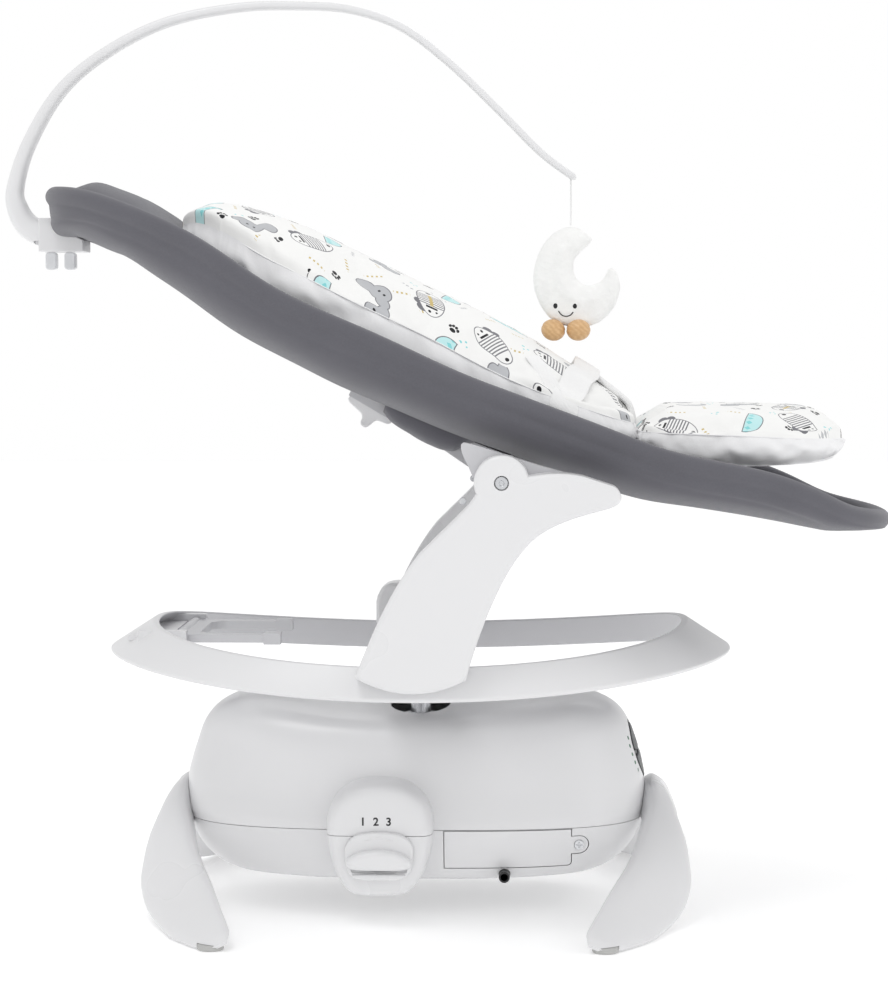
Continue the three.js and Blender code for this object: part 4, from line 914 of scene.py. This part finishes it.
RING_X, RING_LONG, RING_WIDE, RING_LOW, RING_RISE = -21, 278.5, 211, 202, 24


def ring_band(name, grow=0.0, steps=220):
    rings = []
    for i in range(steps):
        t = 2 * math.pi * i / steps
        c, s = signed_power(math.cos(t), 2 / 2.25), signed_power(math.sin(t), 2 / 2.25)
        x = RING_X + RING_LONG * c
        out = Vector((math.cos(t) / RING_LONG, math.sin(t) / RING_WIDE)).normalized()
        lean, wall = 14 + 24 * abs(c) ** 3, 4.5 + 2 * abs(c) ** 3
        section = rounded([
            (0.2, 3), (-1, 0), (-wall, 0), (-lean - wall, 26.5), (-lean - wall + 0.6, 28), (-lean - 0.6, 28),
        ], 1.8, 3)
        low = RING_LOW + RING_RISE * ((x - RING_X) / RING_LONG) ** 2
        mid = Vector((-(lean + wall) / 2, 14))
        ring = []
        for point in section:
            push = Vector(point) - mid
            push *= (push.length + 1.6 * grow) / push.length
            o = mid + push
            ring.append((x + out.x * o.x, RING_WIDE * s + out.y * o.x, low + o.y))
        rings.append(ring)
    return loft(name, rings, joined=True)


def make_ring():
    ring = ring_band("ring")
    pieces = []
    for side in (-1, 1):
        lug = block("lug", -267, -224, side * 74 - 5, side * 74 + 5, 230, 248)
        lug = cut(lug, [prism("pin_hole", disc_outline(-233, 240, 3.3, 24), -120, 120)])
        pieces.append(lug)
    pieces.append(block("shelf", -277, -241, -68, 68, 238, 242))
    cut(ring, pieces, "UNION")
    soften(ring, 0.5, 50)
    # painted shade: the ring's inner face is coloured grey
    paint_inner_shade(ring)
    dress(ring, "rocker", "ring", "rocker_ring", slot="ring_plastic", angle=38)


def paint_inner_shade(ring):
    """The ring's inner face, which looks inward and downward, takes the grey material as painted shade."""
    ring.data.materials.append(materials["ring"])
    ring.data.materials.append(materials["grey"])
    for face in ring.data.polygons:
        x, y = face.center.x / MM - RING_X, face.center.y / MM
        inward = -(face.normal.x * x / RING_LONG ** 2 + face.normal.y * y / RING_WIDE ** 2)
        # painted shade: faces that look inward and not upward are coloured grey
        if inward > 0.0015 and face.normal.z < 0.4:
            face.material_index = 1


def upright_outline():
    hub = [(54.4 + 22.8 * math.cos(a), 385.6 + 22.8 * math.sin(a)) for a in
           [0.25 + (math.pi + 0.17) * k / 36 for k in range(37)]]
    points = bezier((-67, 224), (-21, 198), (25, 222), count=24)
    points += bezier((25, 222), (32, 247), (37, 263), (48, 288), count=14)
    points += bezier((48, 288), (57, 308), (65, 322), (77, 335), count=14)
    points += bezier((77, 335), (92, 351), (118, 358), (141, 364), count=16)
    points += bezier((141, 364), (155, 368), (152.5, 376), count=8)
    points += bezier((152.5, 376), (151, 382), (145, 383.5), count=5)
    points += [(145, 383.5), (134, 387), (122, 391)]
    points += bezier((122, 391), (100, 396), (76.5, 391), count=12)
    points += hub
    points += bezier(hub[-1], (28, 366), (10, 350), (-14, 326), count=18)
    points += bezier((-14, 326), (-38, 296), (-52, 262), (-67, 224), count=24)
    return points


def make_uprights():
    for name, y0, y1, side in (("near", -223, -187, -1), ("far", 187, 223, 1)):
        near, far = (4.5, 2) if side < 0 else (2, 4.5)
        upright = soft_plate("support_" + name, upright_outline(), y0, y1, near, far, 6)
        outer, inner = side * 223, side * 187
        low, high = sorted((outer - side * 4, outer + side * 10))
        hole_span = sorted((inner - side * 5, inner + side * 2))
        cut(upright, [
            ring_band("ring_room", 0.5, 110),
            block("member_room", -400, 400, -198.3, 198.3, 150, 228.3),
            prism("screw_seat", disc_outline(54.4, 385.6, 6.2), low, high),
            prism("pin_hole", disc_outline(54.4, 385.6, 3.3, 24), -240, 240),
            prism("small_hole", disc_outline(22, 369, 3.4, 24), *hole_span),
        ])
        keep_largest(upright)
        soften(upright, 0.5)
        dress(upright, "rocker", "white", "upright_" + name, slot="white_plastic", angle=34)
        span = sorted((inner + side * 2.2, inner + side * 4.2))
        screw = soft_plate("small_screw_" + name, disc_outline(22, 369, 3.1, 24), *span, 0.4, 0.4, 2)
        dress(screw, "rocker", "steel", slot="bright_steel")


def keep_largest(piece):
    bm = bmesh.new()
    bm.from_mesh(piece.data)
    seen, groups = set(), []
    for start in bm.verts:
        if start in seen:
            continue
        group, stack = [], [start]
        seen.add(start)
        while stack:
            vert = stack.pop()
            group.append(vert)
            for edge in vert.link_edges:
                other = edge.other_vert(vert)
                if other not in seen:
                    seen.add(other)
                    stack.append(other)
        groups.append(group)
    groups.sort(key=len)
    for group in groups[:-1]:
        bmesh.ops.delete(bm, geom=group, context="VERTS")
    bm.to_mesh(piece.data)
    bm.free()


# ---- toy bar and toy --------------------------------------------------------------------------

def make_toy_bar():
    path = [
        (-350, 595), (-360, 598), (-375, 606), (-384, 621), (-386, 640), (-373, 680), (-343, 728),
        (-299, 763), (-246, 788), (-184, 800), (-134, 801.5), (-84, 798), (-38, 782), (5, 750),
        (50, 707), (87, 670), (118, 647),
    ]
    points = [(x, 0, z) for x, z in curve_through(path, 8, False)]
    wide = smooth_line([(0, 11), (0.12, 12), (0.3, 10), (0.6, 8), (1, 5)])
    thick = smooth_line([(0, 9), (0.08, 11.5), (0.16, 10), (0.3, 6.5), (0.6, 4), (1, 3.2)])

    def taper(t):
        end = min(1.0, math.sqrt(max(0.0, 1 - max(0.0, (t - 0.985) / 0.015) ** 2)) + 0.25)
        return wide(t) * end, thick(t) * end
    bar = swept("arched_bar", points, squarish(1, 1, 0.7, 36), taper=taper)
    cut(bar, [soft_plate("knuckle", disc_outline(-350, 595, 9, 48), -11, 11, 1, 1)], "UNION")
    # the squeeze lever's corner passes here when the bar is folded away
    turns = [math.radians(190 + 6 * k) for k in range(13)]
    room = [(-350 + 13 * math.cos(a), 595 + 13 * math.sin(a)) for a in turns]
    room += [(-350 + 19 * math.cos(a), 595 + 19 * math.sin(a)) for a in reversed(turns)]
    cut(bar, [prism("lever_room", room, -16, -3)])
    dress(bar, "bar", "white", "toy_bar", slot="white_plastic", angle=60)


def make_toy():
    top, low = Vector((113.5, 0, 646.8)), Vector((113.5, 0, 605.5))
    route = []
    for k in range(15):
        bow = Vector((0.25 * math.sin(k / 14 * math.pi), 0, 0))
        route.append(tuple((top.lerp(low, k / 14) + bow) * MM))
    string = swept("string", [tuple(c / MM for c in p) for p in route], squarish(0.8, 0.8, 1.0, 10))
    dress(string, "toy", "webbing", "toy_string", slot="white_cord")
    make_moon()


def make_moon():
    outline = curve_through([
        (113.4, 605), (124, 601), (132, 594), (124, 585), (117, 575), (118, 561), (129, 552),
        (143, 556), (150, 567), (156, 562), (158.5, 549), (154, 534), (144, 522), (131, 515.6),
        (112, 515), (95, 523), (83.5, 541), (80, 561), (86, 584), (98, 599),
    ], 6)
    moon = soft_plate("moon", outline, -13, 13, 6, 6, 5)
    remesh = moon.modifiers.new("remesh", "REMESH")
    remesh.mode, remesh.voxel_size = "VOXEL", 2.2 * MM
    apply_modifiers(moon)
    inflate(moon, pressure=3.0, cap=3.2, frames=14)
    for face in moon.data.polygons:
        face.use_smooth = True
    sub = moon.modifiers.new("sub", "SUBSURF")
    sub.levels = sub.render_levels = 1
    apply_modifiers(moon)
    ruffle(moon, 0.35, 260)
    dress(moon, "toy", "plush", "moon_toy", slot="white_plush", angle=180)
    face_bits(moon)
    return moon


def surface_y(piece, x, z):
    """The near side of a piece at x and z, in millimetres."""
    hit, place, *_ = piece.ray_cast(Vector((x * MM, -0.4, z * MM)), Vector((0, 1, 0)))
    return place.y / MM if hit else 0.0


def face_bits(moon):
    for name, x in (("eye_left", 100.0), ("eye_right", 117.2)):
        z = 533.6
        y = surface_y(moon, x, z)
        eye = bead(name, (x, y + 0.4, z), (2.0, 1.2, 2.6))
        dress(eye, "toy", "thread", slot="black_plastic")
    smile = curve_through([
        (102.6, 529.0), (105.2, 525.6), (109.2, 524.2), (113.2, 525.2), (115.8, 528.0),
    ], 5, False)
    path = [(x, surface_y(moon, x, z) - 0.1, z) for x, z in smile]
    mouth = swept("smile", path, squarish(0.5, 0.5, 1.0, 8), flat=(0, 0, 1))
    dress(mouth, "toy", "thread", slot="black_plastic")


def bead(name, centre, radii, rows=12, count=20):
    """An ellipsoid of rings, closed by small caps."""
    rings = []
    for k in range(1, rows):
        a = math.pi * k / rows
        turns = [2 * math.pi * i / count for i in range(count)]
        rings.append([(centre[0] + radii[0] * math.sin(a) * math.cos(t),
                       centre[1] + radii[1] * math.cos(a),
                       centre[2] + radii[2] * math.sin(a) * math.sin(t)) for t in turns])
    return loft(name, rings)


def make_toy_feet():
    feet = (("foot_head", "toy_foot_head", 98, 0.25), ("foot_foot", "toy_foot_foot", 120.5, -0.1))
    for name, node, x, tilt in feet:
        foot = bead(name, (0, 0, 0), (10.8, 13, 9.6), 32, 40)
        # a shallow turned groove round the middle, as the two halves' seam
        for vert in foot.data.vertices:
            where = vert.co / MM
            depth = math.exp(-((where.z - 1.2) / 0.5) ** 2) * 0.45
            vert.co -= vert.co.normalized() * depth * MM
        foot.data.transform(Matrix.Translation(Vector((x, -11, 512)) * MM) @ Matrix.Rotation(tilt, 4, "Y"))
        dress(foot, "toy", "wood", node, slot="toy_wood", angle=180)


# ---- soft pieces ------------------------------------------------------------------------------

def inflate(piece, pressure, cap, frames=20, pinned=None, swell=0.0, stiffness=8.0):
    """Lets a closed skin swell as cloth, no further than cap millimetres, and keeps the result."""
    rest = [vert.co.copy() for vert in piece.data.vertices]
    cloth = piece.modifiers.new("cloth", "CLOTH")
    settings = cloth.settings
    settings.quality = 6
    settings.mass = 0.15
    settings.tension_stiffness = settings.compression_stiffness = stiffness
    settings.shear_stiffness = stiffness * 0.5
    settings.bending_stiffness = 0.4
    settings.use_pressure = True
    settings.uniform_pressure_force = pressure
    settings.shrink_min = -swell
    settings.effector_weights.gravity = 0
    cloth.collision_settings.use_collision = False
    if pinned:
        group = piece.vertex_groups.new(name="pinned")
        for index, weight in pinned.items():
            group.add([index], weight, "REPLACE")
        settings.vertex_group_mass = "pinned"
        settings.pin_stiffness = 20
    cloth.point_cache.frame_start, cloth.point_cache.frame_end = 1, frames
    for frame_number in range(1, frames + 1):
        scene.frame_set(frame_number)
    apply_modifiers(piece)
    scene.frame_set(1)
    for vert, start in zip(piece.data.vertices, rest):
        move = vert.co - start
        if move.length > cap * MM:
            vert.co = start + move * (cap * MM / move.length)


def ruffle(piece, height, scale, stretch=(1, 1, 1)):
    """Small uneven hills all over a soft skin, from seeded noise."""
    normals = [vert.normal.copy() for vert in piece.data.vertices]
    for vert, normal in zip(piece.data.vertices, normals):
        where = Vector(c * scale * s for c, s in zip(vert.co, stretch))
        vert.co += normal * noise.fractal(where, 1.0, 2.0, 3) * height * MM


SEAT_HEAD, SEAT_FOOT, TUBE_R, SEAT_WIDE = -346, 389, 7, 181
RIM = smooth_line([
    (-346, 630), (-312, 625), (-276, 614), (-217, 588), (-134, 536), (-51, 499), (21, 466),
    (69, 448), (123, 428), (197, 401), (276, 384), (313, 371), (355, 352), (389, 345)])
KEEL = smooth_line([
    (-346, 606), (-333, 597), (-293, 583), (-216, 537), (-171, 506), (-116, 476), (-87, 461),
    (-38, 441), (26, 415), (60, 403), (90, 391.5), (124, 380), (150, 371), (180, 363), (225, 356),
    (290, 346), (340, 336), (352, 333.5)])


def seat_half(x):
    t = 2 * (x - SEAT_HEAD) / (SEAT_FOOT - SEAT_HEAD) - 1
    return (SEAT_WIDE - TUBE_R - 1) * max(0.0, 1 - abs(t) ** 3.2) ** (1 / 2.6)


def rim_loop(count):
    """Points round the middle of the seat's tube, evenly spaced, from the head end round by the near side."""
    fine = []
    for side in (-1, 1):
        for k in range(400):
            x = SEAT_HEAD + (SEAT_FOOT - SEAT_HEAD) * (0.5 - 0.5 * math.cos(math.pi * k / 400))
            if side > 0:
                x = SEAT_HEAD + SEAT_FOOT - x
            fine.append(Vector((x, side * seat_half(x), RIM(x))))
    fine.append(fine[0])
    far = [0.0]
    for a, b in zip(fine, fine[1:]):
        far.append(far[-1] + (b - a).length)
    loop, k = [], 0
    for i in range(count):
        want = far[-1] * i / count
        while far[k + 1] < want:
            k += 1
        loop.append(fine[k].lerp(fine[k + 1], (want - far[k]) / (far[k + 1] - far[k])))
    return loop


def keel_x(x):
    """Where the fabric under rim point x meets the seat's keel."""
    return min(max(x, -322), 336)


def sling_line(loop, i, steps=26):
    """The fabric from inside the tube, over it and down to the keel, at one point of the rim."""
    rim = loop[i]
    ahead, behind = loop[(i + 1) % len(loop)], loop[i - 1]
    tangent = (ahead - behind).normalized()
    out = tangent.cross(Vector((0, 0, 1)))
    out.normalize()
    if out.y * rim.y < 0 or (abs(rim.y) < 30 and out.x * (rim.x - 20) < 0):
        out.negate()
    up = out.cross(tangent)
    if up.z < 0:
        up.negate()
    skin = TUBE_R + 1.3
    line = []
    for k in range(13):
        a = math.radians(235 - 25 * k + 10)
        line.append(rim + (out * math.cos(a) + up * math.sin(a)) * skin)
    xk = keel_x(rim.x)
    low = Vector((xk, 0, KEEL(xk)))
    start = line[-1]
    for k in range(1, steps + 1):
        a = math.pi / 2 * (k / steps) ** 1.15
        reach = math.cos(a) ** 0.62 if k < steps else 0.0
        drop = math.sin(a) ** 0.8
        x = start.x + (low.x - start.x) * (1 - reach) ** 1.2
        line.append(Vector((x, start.y * reach, start.z + (low.z - start.z) * drop)))
    return line


def make_sling():
    count = 168
    loop = rim_loop(count)
    lines = [sling_line(loop, i) for i in range(count)]
    long = len(lines[0])
    points = [tuple(p) for line in lines for p in line]
    faces = []
    for i in range(count):
        for k in range(long - 1):
            a, b = i * long + k, ((i + 1) % count) * long + k
            faces.append((a, a + 1, b + 1, b))
    sling = mesh_object("hammock", points, faces, MM)
    bm = bmesh.new()
    bm.from_mesh(sling.data)
    bmesh.ops.remove_doubles(bm, verts=bm.verts, dist=1e-4)
    bmesh.ops.recalc_face_normals(bm, faces=bm.faces)
    bm.to_mesh(sling.data)
    bm.free()
    sling.data.update()
    wrinkle(sling)
    sub = sling.modifiers.new("sub", "SUBSURF")
    sub.levels = sub.render_levels = 1
    apply_modifiers(sling)
    cloth = sling.modifiers.new("thick", "SOLIDIFY")
    cloth.thickness, cloth.offset = 1.4 * MM, 0
    dress(sling, "seat", "sling", "sling", slot="sling_fabric", angle=180)
    return loop


def wrinkle(sling):
    """Stretch folds from the head corners and the foot end, and the slack of a hand-sewn cover."""
    normals = [vert.normal.copy() for vert in sling.data.vertices]
    for vert, normal in zip(sling.data.vertices, normals):
        x, y, z = vert.co / MM
        rim = RIM(x)
        below = rim - 8 - z
        if below < 2 or abs(y) < 4:
            continue
        soft = min(1.0, (below - 2) / 14)
        wave = noise.fractal(Vector((x * 0.006, y * 0.012, z * 0.010)), 1.0, 2.0, 2) * 2.2
        head = math.exp(-((x + 330) / 70) ** 2)
        fold = math.sin((x + 330) * 0.10 + below * 0.16) * 1.6 * head
        foot = math.exp(-((x - 372) / 36) ** 2)
        fold += math.sin(x * 0.16 - below * 0.2) * 0.9 * foot
        hem = -0.9 * math.exp(-((below - 12) / 1.6) ** 2)
        vert.co += normal * (wave * soft + fold * soft + hem) * MM


def plan_point(u, v, powers):
    """A point of the square -1..1 moved onto a superellipse, which may be squarer at one end."""
    power = powers[0] if u < 0 else powers[1]
    far = max(abs(u), abs(v))
    if far < 1e-9:
        return 0.0, 0.0, 0.0
    norm = (abs(u / far) ** power + abs(v / far) ** power) ** (1 / power)
    return u / norm, v / norm, far


def cushion(name, x0, x1, wide, power, crown, seam, floor, long_steps, wide_steps, shrink):
    """A closed pad: crowned top to a seam all round, a puffed wall below it, and a floor.
    Its vertices keep their flat coordinates, so the print follows the fabric."""
    grid, points, flat = {}, [], []
    middle, half_long = (x0 + x1) / 2, (x1 - x0) / 2 - shrink
    half_wide = wide - shrink

    def put(x, y, z, u, v):
        points.append((x, y, z))
        flat.append((u, v))
        return len(points) - 1
    faces, top_faces, pins = [], set(), {}
    edge = [(i, 0) for i in range(long_steps)] + [(long_steps, j) for j in range(wide_steps)] + \
           [(i, wide_steps) for i in range(long_steps, 0, -1)] + [(0, j) for j in range(wide_steps, 0, -1)]
    for i in range(long_steps + 1):
        for j in range(wide_steps + 1):
            u, v = 2 * i / long_steps - 1, 2 * j / wide_steps - 1
            u, v = math.sin(u * math.pi / 2) * 0.5 + u * 0.5, math.sin(v * math.pi / 2) * 0.5 + v * 0.5
            px, py, far = plan_point(u, v, power)
            x, y = middle + half_long * px, half_wide * py
            rise = (1 - min(1, abs(py)) ** 2.4) ** 0.7 * (1 - abs(px) ** 9) ** 0.5 if far < 1 else 0.0
            z = seam(x) + (crown(x) - seam(x) - shrink * 0.5) * rise
            grid[i, j] = put(x, y, z, x * MM, y * MM)
    for i in range(long_steps):
        for j in range(wide_steps):
            top_faces.add(len(faces))
            faces.append((grid[i, j], grid[i + 1, j], grid[i + 1, j + 1], grid[i, j + 1]))
    ring = [grid[key] for key in edge]
    for index in ring:
        pins[index] = 1.0
    wall_steps = 7
    for k in range(1, wall_steps + 1):
        t = k / wall_steps
        bulge_out = math.sin(math.pi * t) * 5.0
        lower = []
        for index in (grid[key] for key in edge):
            x, y, _ = points[index]
            away = Vector(((x - middle) / half_long ** 2, y / half_wide ** 2)).normalized()
            pull = (bulge_out - 10 * t ** 2.5)
            z = seam(x) + (floor(x) - seam(x)) * t
            lower.append(put(x + away.x * pull, y + away.y * pull, z, x * MM, y * MM))
        n = len(ring)
        faces += [(ring[a], ring[(a + 1) % n], lower[(a + 1) % n], lower[a]) for a in range(n)]
        ring = lower
    base = {}
    for key, index in zip(edge, ring):
        base[key] = index
        pins[index] = 1.0
    for i in range(1, long_steps):
        for j in range(1, wide_steps):
            x, y, _ = points[grid[i, j]]
            x, y = middle + (x - middle) * 0.97, y * 0.97
            base[i, j] = put(x, y, floor(x), x * MM, y * MM)
            pins[base[i, j]] = 1.0
    for i in range(long_steps):
        for j in range(wide_steps):
            faces.append((base[i, j], base[i, j + 1], base[i + 1, j + 1], base[i + 1, j]))
    pad = mesh_object(name, points, faces, MM)
    layer = pad.data.uv_layers.new(name="fabric")
    for face in pad.data.polygons:
        face.material_index = 0 if face.index in top_faces else 1
        for corner in face.loop_indices:
            layer.data[corner].uv = flat[pad.data.loops[corner].vertex_index]
    pad.data.materials.append(materials["print"])
    pad.data.materials.append(materials["wall"])
    face_out(pad)
    return pad, pins, [grid[key] for key in edge]


def make_cushions():
    back = dict(
        name="pad_back", x0=-234, x1=171, wide=140, power=(3, 7),
        crown=smooth_line([
            (-234, 612), (-222, 622), (-205, 624), (-154, 611), (-52, 564), (68, 504), (150, 454),
            (171, 444),
        ]),
        seam=smooth_line([
            (-234, 602), (-218, 604), (-140, 569), (-72, 535), (-15, 508), (68, 466), (150, 436),
            (171, 430),
        ]),
        floor=smooth_line([
            (-234, 588), (-210, 560), (-116, 506), (-38, 462), (26, 434), (90, 418), (150, 405),
            (169, 404),
        ]),
        long_steps=64, wide_steps=40, shrink=3)
    leg = dict(
        name="pad_leg", x0=169.5, x1=356, wide=128, power=(7, 3.2),
        crown=smooth_line([(169, 440), (195, 442), (300, 441), (345, 435), (356, 424)]),
        seam=smooth_line([(171, 424), (260, 421), (356, 416)]),
        floor=smooth_line([(171, 404), (200, 398), (260, 395), (340, 400), (356, 410)]),
        long_steps=36, wide_steps=36, shrink=3)
    pads = []
    for spec, node in ((back, "cushion_back"), (leg, "cushion_leg")):
        pad, pins, edge = cushion(**spec)
        edge = [pad.data.vertices[index].co.copy() for index in edge]
        inflate(pad, pressure=2.2, cap=7, frames=16, pinned=pins, swell=0.05, stiffness=10)
        sub = pad.modifiers.new("sub", "SUBSURF")
        sub.levels = sub.render_levels = 1
        apply_modifiers(pad)
        ruffle(pad, 0.5, 45)
        dress(pad, "seat", "print", node, slot="print_fabric", angle=180)
        make_seam(spec["name"], edge)
        pads.append(pad)
    return pads


def make_seam(name, edge):
    """The corded seam between a pad's printed top and its plain wall; edge lists points in metres."""
    path = [tuple(c / MM for c in p) for p in edge]
    piping = swept(name + "_seam", path, squarish(0.7, 0.7, 1.0, 8), flat=(0, 0, 1), joined=True)
    dress(piping, "seat", "wall", slot="print_fabric", angle=180)


def strap(name, path, half_wide, thick, body="seat", material="webbing", flat=(0, 1, 0)):
    """Flat webbing along a smooth path."""
    band = swept(name, curve_through(path, 8, False), squarish(half_wide, thick / 2, 0.5, 20), flat=flat)
    return dress(band, body, material, slot="white_webbing", angle=60)


def on_top(pad, x, y, lift):
    """A point just above a cushion."""
    hit, place, *_ = pad.ray_cast(Vector((x * MM, y * MM, 1.0)), Vector((0, 0, -1)))
    return (x, y, (place.z / MM if hit else 440.0) + lift)


def make_harness(pad):
    """The waist belt across the back cushion, its loose tail, and the crotch pad that it passes over."""
    half = [(104, -139.5, 438), (106, -138.5, 446)] + [
        on_top(pad, x, y, lift) for x, y, lift in (
            (110, -128, 2.2), (114, -112, 2.0), (119, -88, 1.8), (124, -60, 2), (127, -34, 3.4))]
    middle = on_top(pad, 129, 0, 10)
    belt = half + [on_top(pad, 128.6, -16, 8.5), middle] + [on_top(pad, 128.6, 16, 8.5)]
    belt += [(x, -y, z) for x, y, z in reversed(half)]
    strap("waist_belt", belt, 13, 2.4, flat=(1, 0, -0.6))
    tail = [on_top(pad, x, y, lift) for x, y, lift in (
        (79, -108, 1.6), (84, -116, 3), (90, -122, 4), (96, -128, 3.4))]
    strap("belt_tail", tail + [(102, -137.5, 449), (104, -139.8, 441)], 6.5, 2.2, flat=(1, 0, -0.2))
    flap = [(170.3, 0, 428)] + [on_top(pad, x, 0, lift) for x, lift in (
        (166, 3), (158, 3), (148, 3), (138, 3.5), (127, 4.5), (116, 4))]
    pad_strap = swept("crotch_pad", curve_through(flap, 8, False), squarish(19, 3.2, 0.55, 28))
    dress(pad_strap, "seat", "webbing", "crotch_strap", slot="white_webbing", angle=60)
    for y in (-16.2, 16.2):
        line = [(x, y, z + 3.25) for x, _, z in curve_through(flap, 8, False)[12:-4]]
        stitch = swept("crotch_stitch", line, squarish(0.35, 0.25, 1.0, 6))
        dress(stitch, "seat", "wall", slot="white_webbing")


def sheet_faces(rows, n):
    """The faces of a sheet whose points are listed row by row, n to a row."""
    return [(i * n + j, i * n + j + 1, (i + 1) * n + j + 1, (i + 1) * n + j)
            for i in range(rows) for j in range(n - 1)]


def make_head_panel():
    """The padded cloth panel inside the seat's head end, which runs down under the back cushion."""
    rows, columns = 26, 22
    points = []
    for i in range(rows + 1):
        x = -337 + 180 * i / rows
        for j in range(columns + 1):
            v = 2 * j / columns - 1
            half = max(12.0, seat_half(x) - 6.0)
            y = half * v
            puff = 16 * (1 - v ** 4) * min(1, (x + 337) / 30) * math.exp(-max(0, x + 265) / 50)
            under = max(0.0, min(1.0, (x + 246) / 50))
            sag = (RIM(x) - KEEL(x)) * 0.45 * under * (1 - v ** 4)
            points.append((x, y, RIM(x) + 2 + puff - sag - 3 * abs(v) ** 6))
    n = columns + 1
    faces = sheet_faces(rows, n)
    panel = mesh_object("head_panel", points, faces, MM)
    face_out(panel)
    ruffle(panel, 1.6, 22, (1, 0.5, 1))
    sub = panel.modifiers.new("sub", "SUBSURF")
    sub.levels = sub.render_levels = 1
    apply_modifiers(panel)
    thick = panel.modifiers.new("thick", "SOLIDIFY")
    thick.thickness, thick.offset = 1.4 * MM, 0
    dress(panel, "seat", "sling", slot="sling_fabric", angle=180)


def make_under_flap():
    """The dark pocket of cloth under the seat that covers the bracket's arm."""
    bottom = smooth_line([
        (-52, 439), (-46, 431), (-30, 420), (-14, 410.5), (0, 405.5), (8, 404.5), (20, 410),
        (36, 417),
    ])
    rings = []
    for k in range(33):
        x = -52 + 88 * k / 32
        top, low = KEEL(x) + 14, bottom(x)
        ring = []
        for i in range(41):
            a = math.pi * i / 40
            ring.append((x + 5 * (1 - math.sin(a)), 64 * signed_power(math.cos(a), 0.5),
                         top + (low - top) * math.sin(a) ** 0.45))
        rings.append(ring)
    n = len(rings[0])
    points = [p for ring in rings for p in ring]
    faces = sheet_faces(len(rings) - 1, n)
    flap = mesh_object("under_flap", points, faces, MM)
    ruffle(flap, 1.2, 16)
    thick = flap.modifiers.new("thick", "SOLIDIFY")
    thick.thickness, thick.offset = 1.2 * MM, 0
    dress(flap, "seat", "sling", slot="sling_fabric", angle=180)


# ---- everything else --------------------------------------------------------------------------

POLISHED = [
    # name, body, material, CAD node, edge radius in mm, slot
    ("screw_battery_door", "hatch", "steel", "battery_door_screw", 0.15, "bright_steel"),
    ("battery_holder", "base", "inner", "battery_box", 0.4, "inner_plastic"),
    ("cell_1", "base", "steel", "battery_cell_1", 0.6, "cell_metal"),
    ("cell_2", "base", "steel", "battery_cell_2", 0.6, "cell_metal"),
    ("cell_3", "base", "steel", "battery_cell_3", 0.6, "cell_metal"),
    ("cell_4", "base", "steel", "battery_cell_4", 0.6, "cell_metal"),
    ("jack", "base", "black", "mains_jack", 0.3, "black_plastic"),
    ("keypad", "base", "keypad", "keypad_panel", 0.2, "keypad_plastic"),
    ("lights", "base", "green", "led_light_guide", 0.1, "green_lens"),
    ("rod_head", "base", "steel", "guide_rod_head", 0.3, "bright_steel"),
    ("rod_foot", "base", "steel", "guide_rod_foot", 0.3, "bright_steel"),
    ("frame_of_drive", "base", "inner", "drive_frame", 0.4, "inner_plastic"),
    ("gear_motor", "base", "can", "motor", 0.4, "cell_metal"),
    ("circuit_board", "base", "board", "main_circuit_board", 0.1, "board"),
    ("loudspeaker", "base", "black", "speaker", 0.3, "black_plastic"),
    ("key_power", "key_power", "keypad", "button_power", 0.5, "keypad_plastic"),
    ("key_up", "key_up", "keypad", "button_up", 0.5, "keypad_plastic"),
    ("key_music", "key_music", "keypad", "button_music", 0.5, "keypad_plastic"),
    ("key_down", "key_down", "keypad", "button_down", 0.5, "keypad_plastic"),
    ("key_timer", "key_timer", "keypad", "button_timer", 0.5, "keypad_plastic"),
    ("slide_carriage", "carrier", "inner", "carriage", 0.4, "inner_plastic"),
    ("swing_shaft", "carrier", "steel", "drive_shaft", 0.3, "bright_steel"),
    ("skirt", "carrier", "white", "shaft_skirt", 0.3, "white_plastic"),
    ("rack", "carrier", "steel", "drive_rack", 0.1, "bright_steel"),
    ("pinion_gear", "pinion", "inner", "drive_pinion", 0.1, "inner_plastic"),
    ("cross_member", "rocker", "white", "ring_cross_member", 1.5, "white_plastic"),
    ("pivot_near", "rocker", "steel", "pivot_screw_near", 0.5, "bright_steel"),
    ("pivot_far", "rocker", "steel", "pivot_screw_far", 0.5, "bright_steel"),
    ("shaker_case", "rocker", "white", "vibration_case", 1.5, "white_plastic"),
    ("shaker_motor", "rocker", "can", "vibration_motor", 0.3, "cell_metal"),
    ("shaker_button", "vibration_key", "keypad", "vibration_button", 0.5, "keypad_plastic"),
    ("folding_stand", "stand", "grey", "kickstand", 1.0, "grey_plastic"),
    ("seat_tube", "seat", "frame", "seat_frame", 0.0, "frame_steel"),
    # painted shade: the seat bracket gets the darker grey material for the shade it sits in
    ("seat_carrier", "seat", "grey", "seat_bracket", 1.2, "inner_plastic"),
    ("bar_clamp", "seat", "white", "toy_bar_clamp", 1.2, "white_plastic"),
    ("recline_lever", "handle", "white", "recline_handle", 1.5, "white_plastic"),
    ("squeeze_head", "lever_head", "clear", "clamp_lever_head", 1.0, "clear_plastic"),
    ("squeeze_foot", "lever_foot", "clear", "clamp_lever_foot", 1.0, "clear_plastic"),
]


def make_polished():
    for name, body, material, node, edge, slot in POLISHED:
        refined(name, body, material, node, edge, slot=slot)


make_stage()
make_materials()
make_toy()
make_toy_feet()
make_base()
make_knob()
make_legs()
make_ring()
make_uprights()
make_toy_bar()
make_polished()
make_sling()
back_pad, leg_pad = make_cushions()
make_harness(back_pad)
make_under_flap()
make_head_panel()
